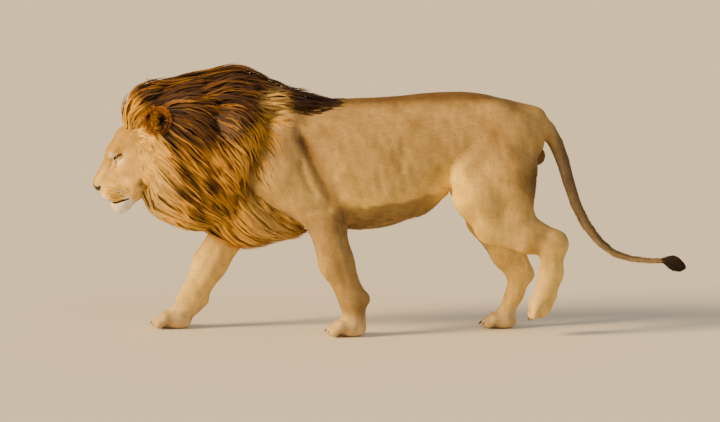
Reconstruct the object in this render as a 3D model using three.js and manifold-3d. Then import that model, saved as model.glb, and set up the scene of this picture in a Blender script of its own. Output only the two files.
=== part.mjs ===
// A walking male lion, life size, as a museum shows it: three feet carry the weight and the left hind
// foot swings forward. The lion faces -X, its left side is -Y and it stands on z = 0. Millimetres.
//
// The body is a soft union of muscle shapes hung on the joints of the skeleton, and the mane is the
// outline of its hair. The union is turned into closed surfaces, coarse on the barrel and fine on the
// head and feet, and every named part takes what lies inside its own outline in side view.
import * as THREE from "three";
import Module from "manifold-3d";

const wasm = await Module();
wasm.setup();

// ---------------------------------------------------------------- driving dimensions
const SEAM = 0.4; // open cut between neighbouring parts
const STANCE = 118; // each foot's distance from the midline
const SOLE = 0; // the floor that the three standing feet share
const LEFT = -1;
const RIGHT = 1;
const EAR_RADIUS = 62;
const EYE_RADIUS = 19;
const EYE_SPREAD = 57; // each eye's centre from the midline
const EYE_RISE = 4; // and above the head's own origin
const EYE_BACK = 16; // and behind it
const TAIL_SIDES = 8;

// ---------------------------------------------------------------- soft shapes
const mix = (a, b, t) => a + (b - a) * t;
const clamp01 = (t) => Math.min(1, Math.max(0, t));

// A joint of two shapes: the lower field wins, with a fillet about k wide where they meet.
function blend(a, b, k) {
  const h = Math.max(k - Math.abs(a - b), 0) / k;
  return Math.min(a, b) - (h * h * k) / 4;
}

// A limb segment between two points, with a radius at each end; flat squeezes it from side to side.
function limb(a, ra, b, rb, flat = 1) {
  const d = b.map((v, i) => v - a[i]);
  const length2 = d[0] ** 2 + d[1] ** 2 + d[2] ** 2;
  return (x, y, z) => {
    const u = x - a[0];
    const v = y - a[1];
    const w = z - a[2];
    const t = clamp01((u * d[0] + v * d[1] + w * d[2]) / length2);
    return Math.hypot(u - t * d[0], (v - t * d[1]) / flat, w - t * d[2]) - mix(ra, rb, t);
  };
}

// An ellipsoid with radii along X, Y and Z, pitched about the Y axis; positive pitch drops its front.
function lump(c, r, pitch = 0) {
  const cos = Math.cos((pitch * Math.PI) / 180);
  const sin = Math.sin((pitch * Math.PI) / 180);
  return (x, y, z) => {
    const u = (x - c[0]) * cos + (z - c[2]) * sin;
    const v = y - c[1];
    const w = -(x - c[0]) * sin + (z - c[2]) * cos;
    const k0 = Math.hypot(u / r[0], v / r[1], w / r[2]);
    const k1 = Math.hypot(u / r[0] ** 2, v / r[1] ** 2, w / r[2] ** 2);
    return k1 > 1e-12 ? (k0 * (k0 - 1)) / k1 : -Math.min(...r);
  };
}

// The barrel of the body: an oval section whose top, bottom and half width run smoothly along X.
function barrel(stations) {
  const at = new THREE.CubicInterpolant(
    stations.map((s) => s[0]),
    stations.flatMap((s) => s.slice(1)),
    3,
    new Float64Array(3),
  );
  const front = stations[0][0];
  const back = stations.at(-1)[0];
  return (x, y, z) => {
    const [top, bottom, half] = at.evaluate(Math.min(back, Math.max(front, x)));
    const rise = (top - bottom) / 2;
    const v = y;
    const w = z - (top + bottom) / 2;
    const k0 = Math.hypot(v / half, w / rise);
    const k1 = Math.hypot(v / half ** 2, w / rise ** 2);
    const side = k1 > 1e-9 ? (k0 * (k0 - 1)) / k1 : -half;
    return Math.max(side, front - x, x - back);
  };
}

// Shapes of one part, joined softly.
function flesh(k, shapes) {
  return (x, y, z) => {
    let d = shapes[0](x, y, z);
    for (let i = 1; i < shapes.length; i++) d = blend(d, shapes[i](x, y, z), k);
    return d;
  };
}

// Takes a shape out of another, with a rounded rim about k wide.
const carve = (a, b, k) => -blend(-a, b, k);

// A run of limb segments through joints [x, y, z, radius].
function chain(joints, flat = 1) {
  return joints.slice(1).map((j, i) => limb(joints[i].slice(0, 3), joints[i][3], j.slice(0, 3), j[3], flat));
}

// ---------------------------------------------------------------- trunk
const trunk = flesh(60, [
  barrel([
    // x, top, bottom, half width
    [-300, 964, 520, 120],
    [-180, 994, 462, 150],
    [-60, 1010, 446, 168],
    [65, 1016, 446, 174],
    [215, 1022, 446, 174],
    [300, 1028, 470, 168],
    [390, 1038, 524, 156],
    [480, 1044, 592, 144],
    [590, 1044, 640, 140],
    [700, 1026, 660, 138],
    [790, 990, 690, 120],
  ]),
  lump([-265, 0, 720], [150, 135, 225], 12), // breast
  lump([790, 0, 850], [125, 118, 140], 0), // croup
  lump([-150, 0, 944], [130, 62, 66], 6), // withers
  lump([415, 0, 556], [66, 28, 32], 36), // sheath
  lump([862, 0, 922], [62, 44, 50], 35), // root of the tail
]);
const scrotum = lump([892, 0, 762], [36, 34, 42], -20);

// ---------------------------------------------------------------- legs
// Four toes side by side, each bent over its knuckle and down to its tip, and the pad under them.
function paw(x, y, { length, width, knuckle, tip }) {
  const toes = [-1.5, -0.5, 0.5, 1.5].flatMap((place) => {
    const reach = Math.abs(place) < 1 ? length : length * 0.86;
    const root = [x + 6, y + (place * width) / 5.6, knuckle];
    const bend = [x - 0.6 * reach, y + (place * width) / 4.3, knuckle + 2];
    const end = [x - 0.96 * reach, y + (place * width) / 4.1, tip + 6];
    return [limb(root, 0.22 * width, bend, 0.21 * width), limb(bend, 0.21 * width, end, 0.205 * width)];
  });
  return flesh(10, [...toes, lump([x - 5, y, 27], [62, width * 0.46, 32])]);
}

// The swinging foot: the same four toes, pointing down from the knuckle.
function hangingPaw(x, y, z) {
  const toes = [-1.5, -0.5, 0.5, 1.5].map((place) => {
    const reach = Math.abs(place) < 1 ? 30 : 22;
    return limb([x - 8, y + place * 20, z - 6], 24, [x - reach, y + place * 25, z - 46], 22);
  });
  return flesh(12, [...toes, lump([x + 12, y, z - 28], [30, 40, 36], -20)]);
}

function foreLeg(side, joint, foot) {
  const y = side * STANCE;
  const { blade, shoulder, elbow, forearm, wrist, triceps } = joint;
  return flesh(38, [
    limb([blade[0], side * 78, blade[1]], 62, [shoulder[0], side * 112, shoulder[1]], 92, 0.75),
    limb([shoulder[0], side * 112, shoulder[1]], 96, [elbow[0], side * 118, elbow[1]], 74, 0.72),
    lump([triceps[0], side * 116, triceps[1]], [118, 48, 92], triceps[2]),
    limb([elbow[0], side * 118, elbow[1]], 82, [forearm[0], y, forearm[1]], 74, 0.74),
    limb([forearm[0], y, forearm[1]], 74, [wrist[0], y, wrist[1]], 57, 0.78),
    limb([wrist[0], y, wrist[1]], 57, [foot[0], y, foot[1]], 50, 0.9),
    lump([wrist[0] + 58, y, wrist[1] + 2], [16, 15, 20]),
    paw(foot[0] - 12, y, { length: 92, width: 124, knuckle: 46, tip: 20 }),
  ]);
}

// Joints are [x, z]; the triceps also has the pitch of its belly.
const foreLeft = foreLeg(
  LEFT,
  {
    blade: [-175, 925],
    shoulder: [-205, 690],
    elbow: [-14, 486],
    forearm: [28, 318],
    wrist: [98, 160],
    triceps: [-75, 655, -42],
  },
  [108, 62],
);
const foreRight = foreLeg(
  RIGHT,
  {
    blade: [-200, 915],
    shoulder: [-330, 680],
    elbow: [-430, 430],
    forearm: [-520, 286],
    wrist: [-604, 122],
    triceps: [-285, 600, 15],
  },
  [-652, 58],
);

// The two hind legs share the haunch and differ below it: the left one swings, the right one stands.
function haunch(side) {
  return [
    limb([700, side * 66, 930], 74, [745, side * 98, 720], 140, 0.6),
    limb([622, side * 84, 730], 112, [640, side * 112, 600], 112, 0.58),
    limb([815, side * 76, 830], 72, [790, side * 108, 640], 84, 0.66),
    lump([868, side * 52, 842], [46, 36, 62], 20),
  ];
}
const hindLeft = flesh(42, [
  ...haunch(LEFT),
  limb([645, -112, 600], 108, [688, -128, 478], 66, 0.62),
  limb([785, -108, 620], 86, [800, -118, 520], 76, 0.62),
  ...chain([[694, -128, 470, 74], [850, -120, 422, 64], [952, -118, 402, 49]], 0.66),
  limb([806, -112, 500], 46, [984, -118, 424], 22, 0.6), // heel tendon
  lump([960, -118, 396], [58, 42, 50]), // hock
  ...chain([[954, -118, 380, 54], [946, -118, 270, 50], [922, -118, 178, 45], [900, -118, 142, 46]], 0.76),
  hangingPaw(896, -118, 140),
]);
const hindRight = flesh(42, [
  ...haunch(RIGHT),
  limb([640, 112, 600], 108, [662, 124, 474], 66, 0.62),
  limb([785, 108, 620], 84, [770, 116, 500], 66, 0.62),
  ...chain([[664, 124, 470, 74], [760, 118, 322, 58], [818, 116, 226, 46]], 0.68),
  limb([770, 114, 420], 42, [868, 116, 236], 20, 0.7), // heel tendon
  ...chain([[824, 116, 228, 44], [800, 116, 150, 36], [762, 116, 66, 42]], 0.8),
  paw(754, 116, { length: 82, width: 108, knuckle: 42, tip: 18 }),
]);

// ---------------------------------------------------------------- head
// The head has its own frame: its origin is midway between the eyes, "ahead" points along the muzzle
// and "up" out of the brow. It is carried low, pitched down from the level.
const HEAD_PITCH = 35;
const BETWEEN_EYES = [-914, 0, 757];
function headPoint(ahead, y, up) {
  const angle = THREE.MathUtils.degToRad(HEAD_PITCH);
  const x = BETWEEN_EYES[0] - ahead * Math.cos(angle) - up * Math.sin(angle);
  const z = BETWEEN_EYES[2] - ahead * Math.sin(angle) + up * Math.cos(angle);
  return [x, y, z];
}
const onHead = (ahead, y, up, radii, tilt = 0) => lump(headPoint(ahead, y, up), radii, HEAD_PITCH + tilt);
const both = (make) => [make(LEFT), make(RIGHT)];

const skull = flesh(26, [
  onHead(-118, 0, -10, [128, 96, 96]), // braincase
  onHead(-34, 0, 20, [72, 66, 54]), // forehead
  onHead(-84, 0, 58, [46, 60, 42]), // its top, under the forelock
  limb(headPoint(12, 0, 6), 38, headPoint(116, 0, -42), 33, 1.06), // bridge of the nose
  onHead(118, 0, -62, [34, 36, 36]), // nose
  ...both((s) => onHead(92, s * 30, -104, [56, 38, 46])), // upper lips
  onHead(40, 0, -86, [90, 62, 66]), // root of the muzzle
  onHead(104, 0, -172, [42, 37, 42]), // chin
  limb(headPoint(88, 0, -164), 40, headPoint(-30, 0, -152), 58, 1.1), // lower jaw
  ...both((s) => onHead(-50, s * 62, -54, [76, 42, 58])), // cheekbones
  ...both((s) => onHead(-104, s * 72, -104, [84, 48, 84])), // chewing muscles
  ...both((s) => onHead(-10, s * 38, 23, [36, 26, 20])), // brows
]);
const eyePits = both((s) => onHead(8 - EYE_BACK, s * 84, EYE_RISE - 3, [30, 24, 19]));
const head = (x, y, z) => carve(skull(x, y, z), eyePits[y < 0 ? 0 : 1](x, y, z), 14);

// ---------------------------------------------------------------- mane
// Its outline is that of the hair's tips: a crown over the skull, a crest down the nape to a tongue on
// the withers, a collar round the neck and shoulders, a beard and a breast.
const hair = flesh(46, [
  lump([-788, 0, 968], [104, 118, 110], 30), // crown
  lump([-856, 0, 928], [54, 78, 54]), // forelock
  ...chain([[-715, 0, 985, 118], [-560, 0, 990, 132], [-400, 0, 1008, 150], [-262, 0, 1000, 98]], 0.86),
  lump([-590, 0, 830], [160, 222, 250]), // collar
  lump([-420, 0, 800], [140, 214, 280], -22),
  lump([-560, 0, 610], [190, 186, 165], 22), // throat
  limb([-696, 0, 602], 88, [-600, 0, 560], 110, 1.1), // beard
  lump([-370, 0, 520], [150, 150, 160], -20), // breast
  limb([-300, 0, 470], 92, [-168, 0, 464], 62, 1.5),
  limb([-745, 0, 705], 94, [-640, 0, 700], 150), // behind the jaw
]);
const tongue = flesh(20, chain([[-230, 0, 1010, 70], [-120, 0, 1000, 56], [-22, 0, 988, 40]], 1.9));
const mane = (x, y, z) => blend(hair(x, y, z), tongue(x, y, z), 24);

// ---------------------------------------------------------------- the whole animal
const SHOULDER_FILLET = 46;
function body(x, y, z) {
  const core = trunk(x, y, z);
  const legs = y < 0 ? [foreLeft, hindLeft] : [foreRight, hindRight];
  let d = core;
  for (const leg of legs) d = Math.min(d, blend(core, leg(x, y, z), SHOULDER_FILLET));
  return Math.min(d, mane(x, y, z), head(x, y, z), scrotum(x, y, z));
}

// ---------------------------------------------------------------- surfaces
// A grid cell's corners are numbered by three bits, x, y and z. Its edges start at a corner and run
// along an axis; each of its faces lists the edges round it.
const CORNERS = [0, 1, 2, 3, 4, 5, 6, 7].map((c) => [c & 1, (c >> 1) & 1, (c >> 2) & 1]);
const EDGES = [];
const EDGE_FROM = CORNERS.map(() => [-1, -1, -1]);
for (let c = 0; c < 8; c++)
  for (let axis = 0; axis < 3; axis++) {
    if (CORNERS[c][axis]) continue;
    EDGE_FROM[c][axis] = EDGES.length;
    EDGES.push([c, c | (1 << axis)]);
  }
const FACES = [];
for (let axis = 0; axis < 3; axis++)
  for (const side of [0, 1])
    FACES.push(EDGES.map((e, i) => i).filter((i) => EDGES[i].every((c) => CORNERS[c][axis] === side)));

// The crossed edges of a cell, sorted into one group for each sheet of surface that passes through it.
function sheets(inside) {
  const crossed = EDGES.map(([a, b]) => inside[a] !== inside[b]);
  const group = EDGES.map((_, i) => i);
  const join = (a, b) => {
    const [from, to] = [group[a], group[b]];
    for (let i = 0; i < 12; i++) if (group[i] === from) group[i] = to;
  };
  for (const face of FACES) {
    const hits = face.filter((i) => crossed[i]);
    if (hits.length === 2) join(...hits);
    if (hits.length < 4) continue;
    for (let c = 0; c < 8; c++) {
      const touching = hits.filter((i) => inside[c] && EDGES[i].includes(c));
      if (touching.length === 2) join(...touching);
    }
  }
  const found = new Map();
  crossed.forEach((hit, i) => hit && found.set(group[i], [...(found.get(group[i]) ?? []), i]));
  return [...found.values()];
}

// A closed mesh of a field's zero surface inside a box: one vertex for each sheet of surface in a grid
// cell, drawn on to the surface, and one quad for each grid edge that the surface crosses.
function surface(field, low, high, cell, polish = 2) {
  const n = low.map((v, i) => Math.ceil((high[i] - v) / cell[i]) + 1);
  const value = new Float64Array(n[0] * n[1] * n[2]);
  const index = (i, j, k) => (i * n[1] + j) * n[2] + k;
  const place = (i, j, k) => [low[0] + i * cell[0], low[1] + j * cell[1], low[2] + k * cell[2]];
  const each = (trim, visit) => {
    for (let i = 0; i < n[0] - trim; i++)
      for (let j = 0; j < n[1] - trim; j++) for (let k = 0; k < n[2] - trim; k++) visit(i, j, k);
  };
  each(0, (i, j, k) => {
    const rim = i === 0 || j === 0 || k === 0 || i === n[0] - 1 || j === n[1] - 1 || k === n[2] - 1;
    value[index(i, j, k)] = rim ? cell[0] : field(...place(i, j, k));
  });
  const vertexOf = new Map();
  const position = [];
  each(1, (i, j, k) => {
    const f = CORNERS.map((c) => value[index(i + c[0], j + c[1], k + c[2])]);
    const inside = f.map((v) => v < 0);
    if (inside.every((v) => v === inside[0])) return;
    const corner = place(i, j, k);
    for (const sheet of sheets(inside)) {
      const v = [...corner];
      for (const edge of sheet) {
        const [a, b] = EDGES[edge];
        const t = f[a] / (f[a] - f[b]);
        for (let m = 0; m < 3; m++) v[m] += (cell[m] * mix(CORNERS[a][m], CORNERS[b][m], t)) / sheet.length;
        vertexOf.set(index(i, j, k) * 12 + edge, position.length / 3);
      }
      for (let pass = 0; pass < polish; pass++) settle(field, v, corner, cell);
      position.push(...v);
    }
  });
  const faces = [];
  const AROUND = [[1, 2], [2, 0], [0, 1]];
  each(1, (i, j, k) => {
    const inside = value[index(i, j, k)] < 0;
    for (let axis = 0; axis < 3; axis++) {
      const end = [i, j, k];
      end[axis] += 1;
      if (inside === value[index(...end)] < 0) continue;
      const [second, third] = AROUND[axis];
      const ring = [[1, 1], [0, 1], [0, 0], [1, 0]].map(([u, v]) => {
        const c = [i, j, k];
        c[second] -= u;
        c[third] -= v;
        const edge = EDGE_FROM[(u << second) | (v << third)][axis];
        return vertexOf.get(index(...c) * 12 + edge);
      });
      if (!inside) ring.reverse();
      faces.push(ring[0], ring[1], ring[2], ring[0], ring[2], ring[3]);
    }
  });
  return solid(position, faces);
}

// Moves a vertex along the field's slope to where the field is zero, without leaving its own cell.
function settle(field, v, corner, cell) {
  const step = 0.5;
  const here = field(...v);
  const slope = [0, 1, 2].map((m) => {
    const w = [...v];
    w[m] += step;
    return (field(...w) - here) / step;
  });
  const steep = slope[0] ** 2 + slope[1] ** 2 + slope[2] ** 2;
  if (steep < 0.04) return;
  for (let m = 0; m < 3; m++) {
    const moved = v[m] - (here * slope[m]) / steep;
    v[m] = Math.min(corner[m] + cell[m] * 0.98, Math.max(corner[m] + cell[m] * 0.02, moved));
  }
}

function solid(position, faces) {
  const vertProperties = new Float32Array(position);
  const triVerts = new Uint32Array(faces);
  return new wasm.Manifold(new wasm.Mesh({ numProp: 3, vertProperties, triVerts }));
}

// The solid of a three.js geometry, turned and moved.
function fromGeometry(geometry, matrix) {
  const g = geometry.clone().applyMatrix4(matrix);
  const p = g.getAttribute("position");
  const keys = new Map();
  const position = [];
  const remap = [];
  for (let i = 0; i < p.count; i++) {
    const point = [p.getX(i), p.getY(i), p.getZ(i)];
    const key = point.map((q) => Math.round(q * 1000)).join();
    if (!keys.has(key)) {
      keys.set(key, position.length / 3);
      position.push(...point);
    }
    remap.push(keys.get(key));
  }
  const order = g.index ? [...g.index.array] : remap.map((_, i) => i);
  const faces = [];
  for (let i = 0; i < order.length; i += 3) {
    const [a, b, c] = [0, 1, 2].map((m) => remap[order[i + m]]);
    if (a !== b && b !== c && a !== c) faces.push(a, b, c);
  }
  return solid(position, faces);
}

// ---------------------------------------------------------------- cutters
// A prism through the animal: an outline [x, z] in side view, from one y to another, grown by a margin.
function prism(outline, [y0, y1], margin = 0) {
  const clockwise = THREE.ShapeUtils.isClockWise(outline.map(([x, z]) => new THREE.Vector2(x, z)));
  const ring = outline.map((p) => new THREE.Vector2(...p));
  if (clockwise) ring.reverse();
  const moved = ring.map((p, i) => {
    const before = ring[(i + ring.length - 1) % ring.length];
    const after = ring[(i + 1) % ring.length];
    const into = p.clone().sub(before).normalize();
    const out = after.clone().sub(p).normalize();
    const n1 = new THREE.Vector2(into.y, -into.x);
    const n2 = new THREE.Vector2(out.y, -out.x);
    return p.clone().addScaledVector(n1.clone().add(n2), margin / (1 + n1.dot(n2)));
  });
  const depth = y1 - y0 + 2 * margin;
  const shape = new THREE.Shape(moved);
  const geometry = new THREE.ExtrudeGeometry(shape, { depth, bevelEnabled: false, steps: 1 });
  const turn = new THREE.Matrix4().makeRotationX(Math.PI / 2);
  return fromGeometry(geometry, turn.premultiply(new THREE.Matrix4().makeTranslation(0, y1 + margin, 0)));
}

function largest(body_) {
  const pieces = body_.decompose();
  pieces.sort((a, b) => b.volume() - a.volume());
  return pieces[0];
}

// ---------------------------------------------------------------- ears, eyes and tail
// An ear is a round cupped shell; its cutter is the same cup filled in.
const UPRIGHT = new THREE.Vector3(0, 1, 0);
function ear(side, profile) {
  const geometry = new THREE.LatheGeometry(profile.map(([r, h]) => new THREE.Vector2(r, h)), 10);
  const opening = new THREE.Vector3(-0.56, side * 0.8, 0.22).normalize();
  const matrix = new THREE.Matrix4()
    .makeRotationFromQuaternion(new THREE.Quaternion().setFromUnitVectors(UPRIGHT, opening))
    .setPosition(-718, side * 138, 926);
  return fromGeometry(geometry, matrix);
}
const R = EAR_RADIUS;
const OUTSIDE = [[0, -36], [0.5 * R, -32], [0.86 * R, -14], [R, 14]];
const CUP = [...OUTSIDE, [0.92 * R, 18], [0.7 * R, -6], [0.4 * R, -20], [0, -24]];
const FILLED = [...OUTSIDE.map(([r, h]) => [r && r + SEAM, h - SEAM]), [R + 10, 60], [0, 60]];

function ball(centre, radius) {
  const geometry = new THREE.SphereGeometry(radius, 9, 6);
  return fromGeometry(geometry, new THREE.Matrix4().makeTranslation(...centre));
}

// A tapering tube in the midplane from one to another of the points [x, z, radius], closed at both
// ends. A length that starts part of the way along leaves a seam before it.
function tube(points, start, end, sides, margin = 0) {
  const position = [];
  const faces = [];
  for (let i = start; i <= end; i++) {
    const [x, z, radius] = points[i];
    const a = points[Math.max(0, i - 1)];
    const b = points[Math.min(points.length - 1, i + 1)];
    const along = new THREE.Vector2(b[0] - a[0], b[1] - a[1]).normalize();
    const gap = i > start ? 0 : start > 0 ? SEAM : -margin;
    const r = radius + margin;
    for (let s = 0; s < sides; s++) {
      const out = r * Math.cos((2 * Math.PI * s) / sides);
      const across = r * Math.sin((2 * Math.PI * s) / sides);
      position.push(x + along.x * gap - along.y * out, across, z + along.y * gap + along.x * out);
    }
  }
  const tip = (end - start) * sides;
  for (let ring = 0; ring < tip; ring += sides)
    for (let s = 0; s < sides; s++) {
      const [p, q] = [ring + s, ring + ((s + 1) % sides)];
      faces.push(p, q + sides, q, p, p + sides, q + sides);
    }
  for (let s = 1; s < sides - 1; s++) faces.push(0, s, s + 1, tip, tip + s + 1, tip + s);
  return solid(position, faces);
}

// ---------------------------------------------------------------- surfaces of the animal
// The same body, meshed region by region: field, lowest corner, highest corner, cell size.
const skin = {
  barrel: surface(body, [-460, -240, 400], [1000, 240, 1080], [98, 68, 64]),
  mane: surface(body, [-980, -300, 320], [70, 300, 1230], [76, 70, 70]),
  head: surface(body, [-1090, -190, 470], [-640, 190, 1060], [28, 27, 27]),
  foreLeft: surface(body, [-240, -260, 100], [260, 0, 560], [42, 34, 56]),
  foreRight: surface(body, [-850, 0, 30], [-260, 260, 560], [42, 34, 56]),
  thighLeft: surface(body, [440, -260, 280], [1060, 0, 960], [56, 45, 66]),
  thighRight: surface(body, [440, 0, 280], [1060, 260, 960], [56, 45, 66]),
  shankLeft: surface(body, [500, -260, 100], [1080, 0, 600], [40, 33, 44]),
  shankRight: surface(body, [500, 0, 40], [1000, 260, 600], [40, 33, 52]),
  forepawLeft: surface(body, [-80, -230, -30], [220, -20, 190], [28, 22, 24]),
  forepawRight: surface(body, [-850, 20, -30], [-480, 230, 210], [30, 22, 24]),
  hindpawLeft: surface(body, [780, -230, 20], [1060, -20, 220], [28, 22, 24]),
  hindpawRight: surface(body, [600, 20, -30], [900, 230, 160], [28, 22, 24]),
};

// ---------------------------------------------------------------- colours
const SHORT_COAT = "#bf9a6a";
const LIT_LEG = "#cba675";
const MANE_GOLD = "#a06c2e";
const MANE_DARK = "#4e3220";
const PALE_EDGE = "#a98d60";
const CHIN = "#ddd0ba";
const EAR = "#9a6434";
const NOSE = "#2b211d";
const EYE = "#5f421c";
const TUFT = "#2a1c14";

// ---------------------------------------------------------------- parts
// Lines that several outlines share, as [x, z] in side view.
const HAIRLINE = [[-925, 905], [-890, 873], [-800, 872], [-770, 830], [-765, 700], [-790, 560]];
const UNDER_NAPE = [[-680, 880], [-500, 900], [-310, 905]];
const OVER_THROAT = [[-770, 640], [-500, 600], [-470, 560], [-228, 600]];
const MANE_REAR_HIGH = [[-310, 905], [-300, 810], [-262, 720], [-228, 600]];
const MANE_REAR_LOW = [[-228, 600], [-200, 560], [-120, 485], [-60, 437]];
const KNEE_LEFT = [[540, 350], [740, 474], [905, 506]];
const KNEE_RIGHT = [[540, 336], [880, 546]];
const HAUNCH = [[480, 640], [548, 770], [640, 880], [760, 925], [980, 860]];
const COLLAR = [
  [-800, 872],
  ...UNDER_NAPE,
  ...MANE_REAR_HIGH.slice(1),
  ...OVER_THROAT.slice(0, 3).reverse(),
  [-765, 700],
  [-770, 830],
];

// A part takes what lies inside its outline and no earlier part has taken. Each row holds its name,
// the surface it is cut from, its colour, its reach from one y to another, and its outline.
const WHOLE = [-400, 400];
const LEFT_LEG = [-400, -48];
const RIGHT_LEG = [48, 400];
const PARTS = [
  ["lower_jaw", "head", CHIN, WHOLE, [
    [-1060, 552], [-950, 566], [-905, 572], [-860, 582], [-815, 592], [-790, 560], [-800, 430], [-1060, 430],
  ]],
  ["nose", "head", NOSE, [-32, 32], [[-1060, 694], [-1004, 668], [-985, 640], [-976, 606], [-1060, 580]]],
  ["head", "head", SHORT_COAT, WHOLE, [[-1150, 1100], ...HAIRLINE, [-860, 400], [-1150, 400]]],
  ["forepaw_left", "forepawLeft", LIT_LEG, LEFT_LEG, [[-80, 140], [260, 140], [260, SOLE], [-80, SOLE]]],
  ["forearm_left", "foreLeft", LIT_LEG, LEFT_LEG, [
    [-220, 416], [-60, 437], [85, 468], [112, 440], [260, 240], [260, 140], [-220, 140],
  ]],
  ["forepaw_right", "forepawRight", LIT_LEG, RIGHT_LEG, [
    [-850, 164], [-686, 164], [-500, 70], [-500, SOLE], [-850, SOLE],
  ]],
  ["forearm_right", "foreRight", LIT_LEG, RIGHT_LEG, [
    [-720, 425], [-600, 425], [-396, 398], [-396, 300], [-500, 70], [-686, 164], [-720, 164],
  ]],
  ["hindpaw_left", "hindpawLeft", LIT_LEG, LEFT_LEG, [[780, 150], [1060, 178], [1060, 0], [780, 0]]],
  ["metatarsus_left", "shankLeft", LIT_LEG, LEFT_LEG, [
    [780, 338], [880, 345], [1060, 362], [1060, 178], [780, 150],
  ]],
  ["shank_left", "shankLeft", LIT_LEG, LEFT_LEG, [
    ...KNEE_LEFT, [1080, 520], [1060, 362], [880, 345], [700, 300], [540, 300],
  ]],
  ["hindpaw_right", "hindpawRight", LIT_LEG, RIGHT_LEG, [
    [600, 118], [860, 92], [960, 92], [960, SOLE], [600, SOLE],
  ]],
  ["metatarsus_right", "shankRight", LIT_LEG, RIGHT_LEG, [
    [600, 205], [740, 214], [960, 242], [960, 92], [860, 92], [600, 118],
  ]],
  ["shank_right", "shankRight", LIT_LEG, RIGHT_LEG, [
    ...KNEE_RIGHT, [960, 546], [960, 242], [740, 214], [540, 205],
  ]],
  ["scrotum", "barrel", SHORT_COAT, [-60, 60], [[862, 800], [1000, 800], [1000, 690], [862, 690]]],
  ["thigh_left", "thighLeft", SHORT_COAT, LEFT_LEG, [
    ...HAUNCH, [980, 515], ...[...KNEE_LEFT].reverse(), [480, 350],
  ]],
  ["thigh_right", "thighRight", SHORT_COAT, RIGHT_LEG, [
    ...HAUNCH, [980, 546], ...[...KNEE_RIGHT].reverse(), [480, 336],
  ]],
  ["crown_mane", "mane", MANE_GOLD, WHOLE, [
    [-1150, 1300], ...HAIRLINE.slice(0, 3), [-680, 880], [-680, 1300],
  ]],
  ["withers_mane", "mane", MANE_DARK, WHOLE, [[-244, 1300], [-244, 962], [-140, 952], [70, 946], [70, 1300]]],
  ["nape_mane", "mane", MANE_DARK, WHOLE, [
    [-680, 1300], ...UNDER_NAPE, [-296, 940], [-244, 962], [-244, 1300],
  ]],
  ["throat_mane", "mane", MANE_GOLD, WHOLE, [
    [-860, 400], [-790, 560], ...OVER_THROAT.slice(0, 3), [-470, 300], [-860, 300],
  ]],
  ["breast_mane", "mane", PALE_EDGE, WHOLE, [
    [-470, 560], ...MANE_REAR_LOW.slice(0, 3), [-40, 440], [-40, 300], [-470, 300],
  ]],
  ["collar_left", "mane", MANE_GOLD, [-400, 0], COLLAR],
  ["collar_right", "mane", MANE_GOLD, [0, 400], COLLAR],
  ["shoulder_left", "barrel", SHORT_COAT, [-400, -90], [
    [-244, 962], [-296, 940], ...MANE_REAR_HIGH, ...MANE_REAR_LOW.slice(1),
    [72, 464], [50, 540], [-10, 650], [-60, 760], [-130, 890],
  ]],
  ["shoulder_right", "barrel", SHORT_COAT, [90, 400], [
    [-244, 962], [-296, 940], ...MANE_REAR_HIGH, [-200, 560], [-150, 600], [-120, 760], [-150, 890],
  ]],
  ["chest", "barrel", SHORT_COAT, WHOLE, [[-330, 1100], [290, 1100], [290, 380], [-330, 380]]],
  ["loins", "barrel", SHORT_COAT, WHOLE, [[290, 1100], [590, 1100], [590, 380], [290, 380]]],
  ["croup", "barrel", SHORT_COAT, WHOLE, [[590, 1100], [1000, 1100], [1000, 380], [590, 380]]],
];

// The tail and its tuft: x, z and radius along the middle, and where each named length starts and ends.
const TAIL = [
  [830, 938, 46], [885, 922, 44], [934, 876, 38], [970, 818, 34], [999, 745, 31], [1026, 650, 28],
  [1056, 558, 26], [1100, 470, 23], [1156, 396, 20], [1222, 342, 17], [1296, 319, 15], [1370, 311, 13.5],
  [1440, 310, 14], [1456, 307, 27], [1482, 300, 35], [1508, 291, 29], [1525, 286, 11],
];
const TAIL_NODES = [
  ["tail_1", SHORT_COAT, 0, 3],
  ["tail_2", SHORT_COAT, 3, 6],
  ["tail_3", SHORT_COAT, 6, 9],
  ["tail_4", SHORT_COAT, 9, 12],
  ["tail_tuft", TUFT, 12, 16],
];

// ---------------------------------------------------------------- the scene graph
const lion = new THREE.Group();

function node(name, solid_, color, roughness = 0.85) {
  const { vertProperties, triVerts, numProp } = solid_.getMesh();
  const position = new Float32Array((vertProperties.length / numProp) * 3);
  for (let i = 0; i < position.length / 3; i++)
    for (let m = 0; m < 3; m++) position[i * 3 + m] = vertProperties[i * numProp + m];
  const geometry = new THREE.BufferGeometry();
  geometry.setAttribute("position", new THREE.BufferAttribute(position, 3));
  geometry.setIndex(new THREE.BufferAttribute(new Uint32Array(triVerts), 1));
  geometry.computeVertexNormals();
  const mesh = new THREE.Mesh(geometry, new THREE.MeshStandardMaterial({ color, roughness, metalness: 0 }));
  mesh.name = name;
  lion.add(mesh);
}

const taken = [];
for (const [side, label] of [[LEFT, "left"], [RIGHT, "right"]]) {
  const eye = headPoint(-EYE_BACK, side * EYE_SPREAD, EYE_RISE);
  node(`eye_${label}`, ball(eye, EYE_RADIUS), EYE, 0.15);
  taken.push(ball(eye, EYE_RADIUS + SEAM));
  node(`ear_${label}`, ear(side, CUP), EAR);
  taken.push(ear(side, FILLED));
}
for (const [name, colour, start, end] of TAIL_NODES) node(name, tube(TAIL, start, end, TAIL_SIDES), colour);
taken.push(tube(TAIL, 0, 4, TAIL_SIDES, SEAM));

for (const [name, from, colour, reach, outline] of PARTS) {
  let part = skin[from].intersect(prism(outline, reach));
  for (const other of taken) part = part.subtract(other);
  taken.push(prism(outline, reach, SEAM));
  node(name, largest(part), colour, name === "nose" ? 0.45 : 0.85);
}

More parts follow.
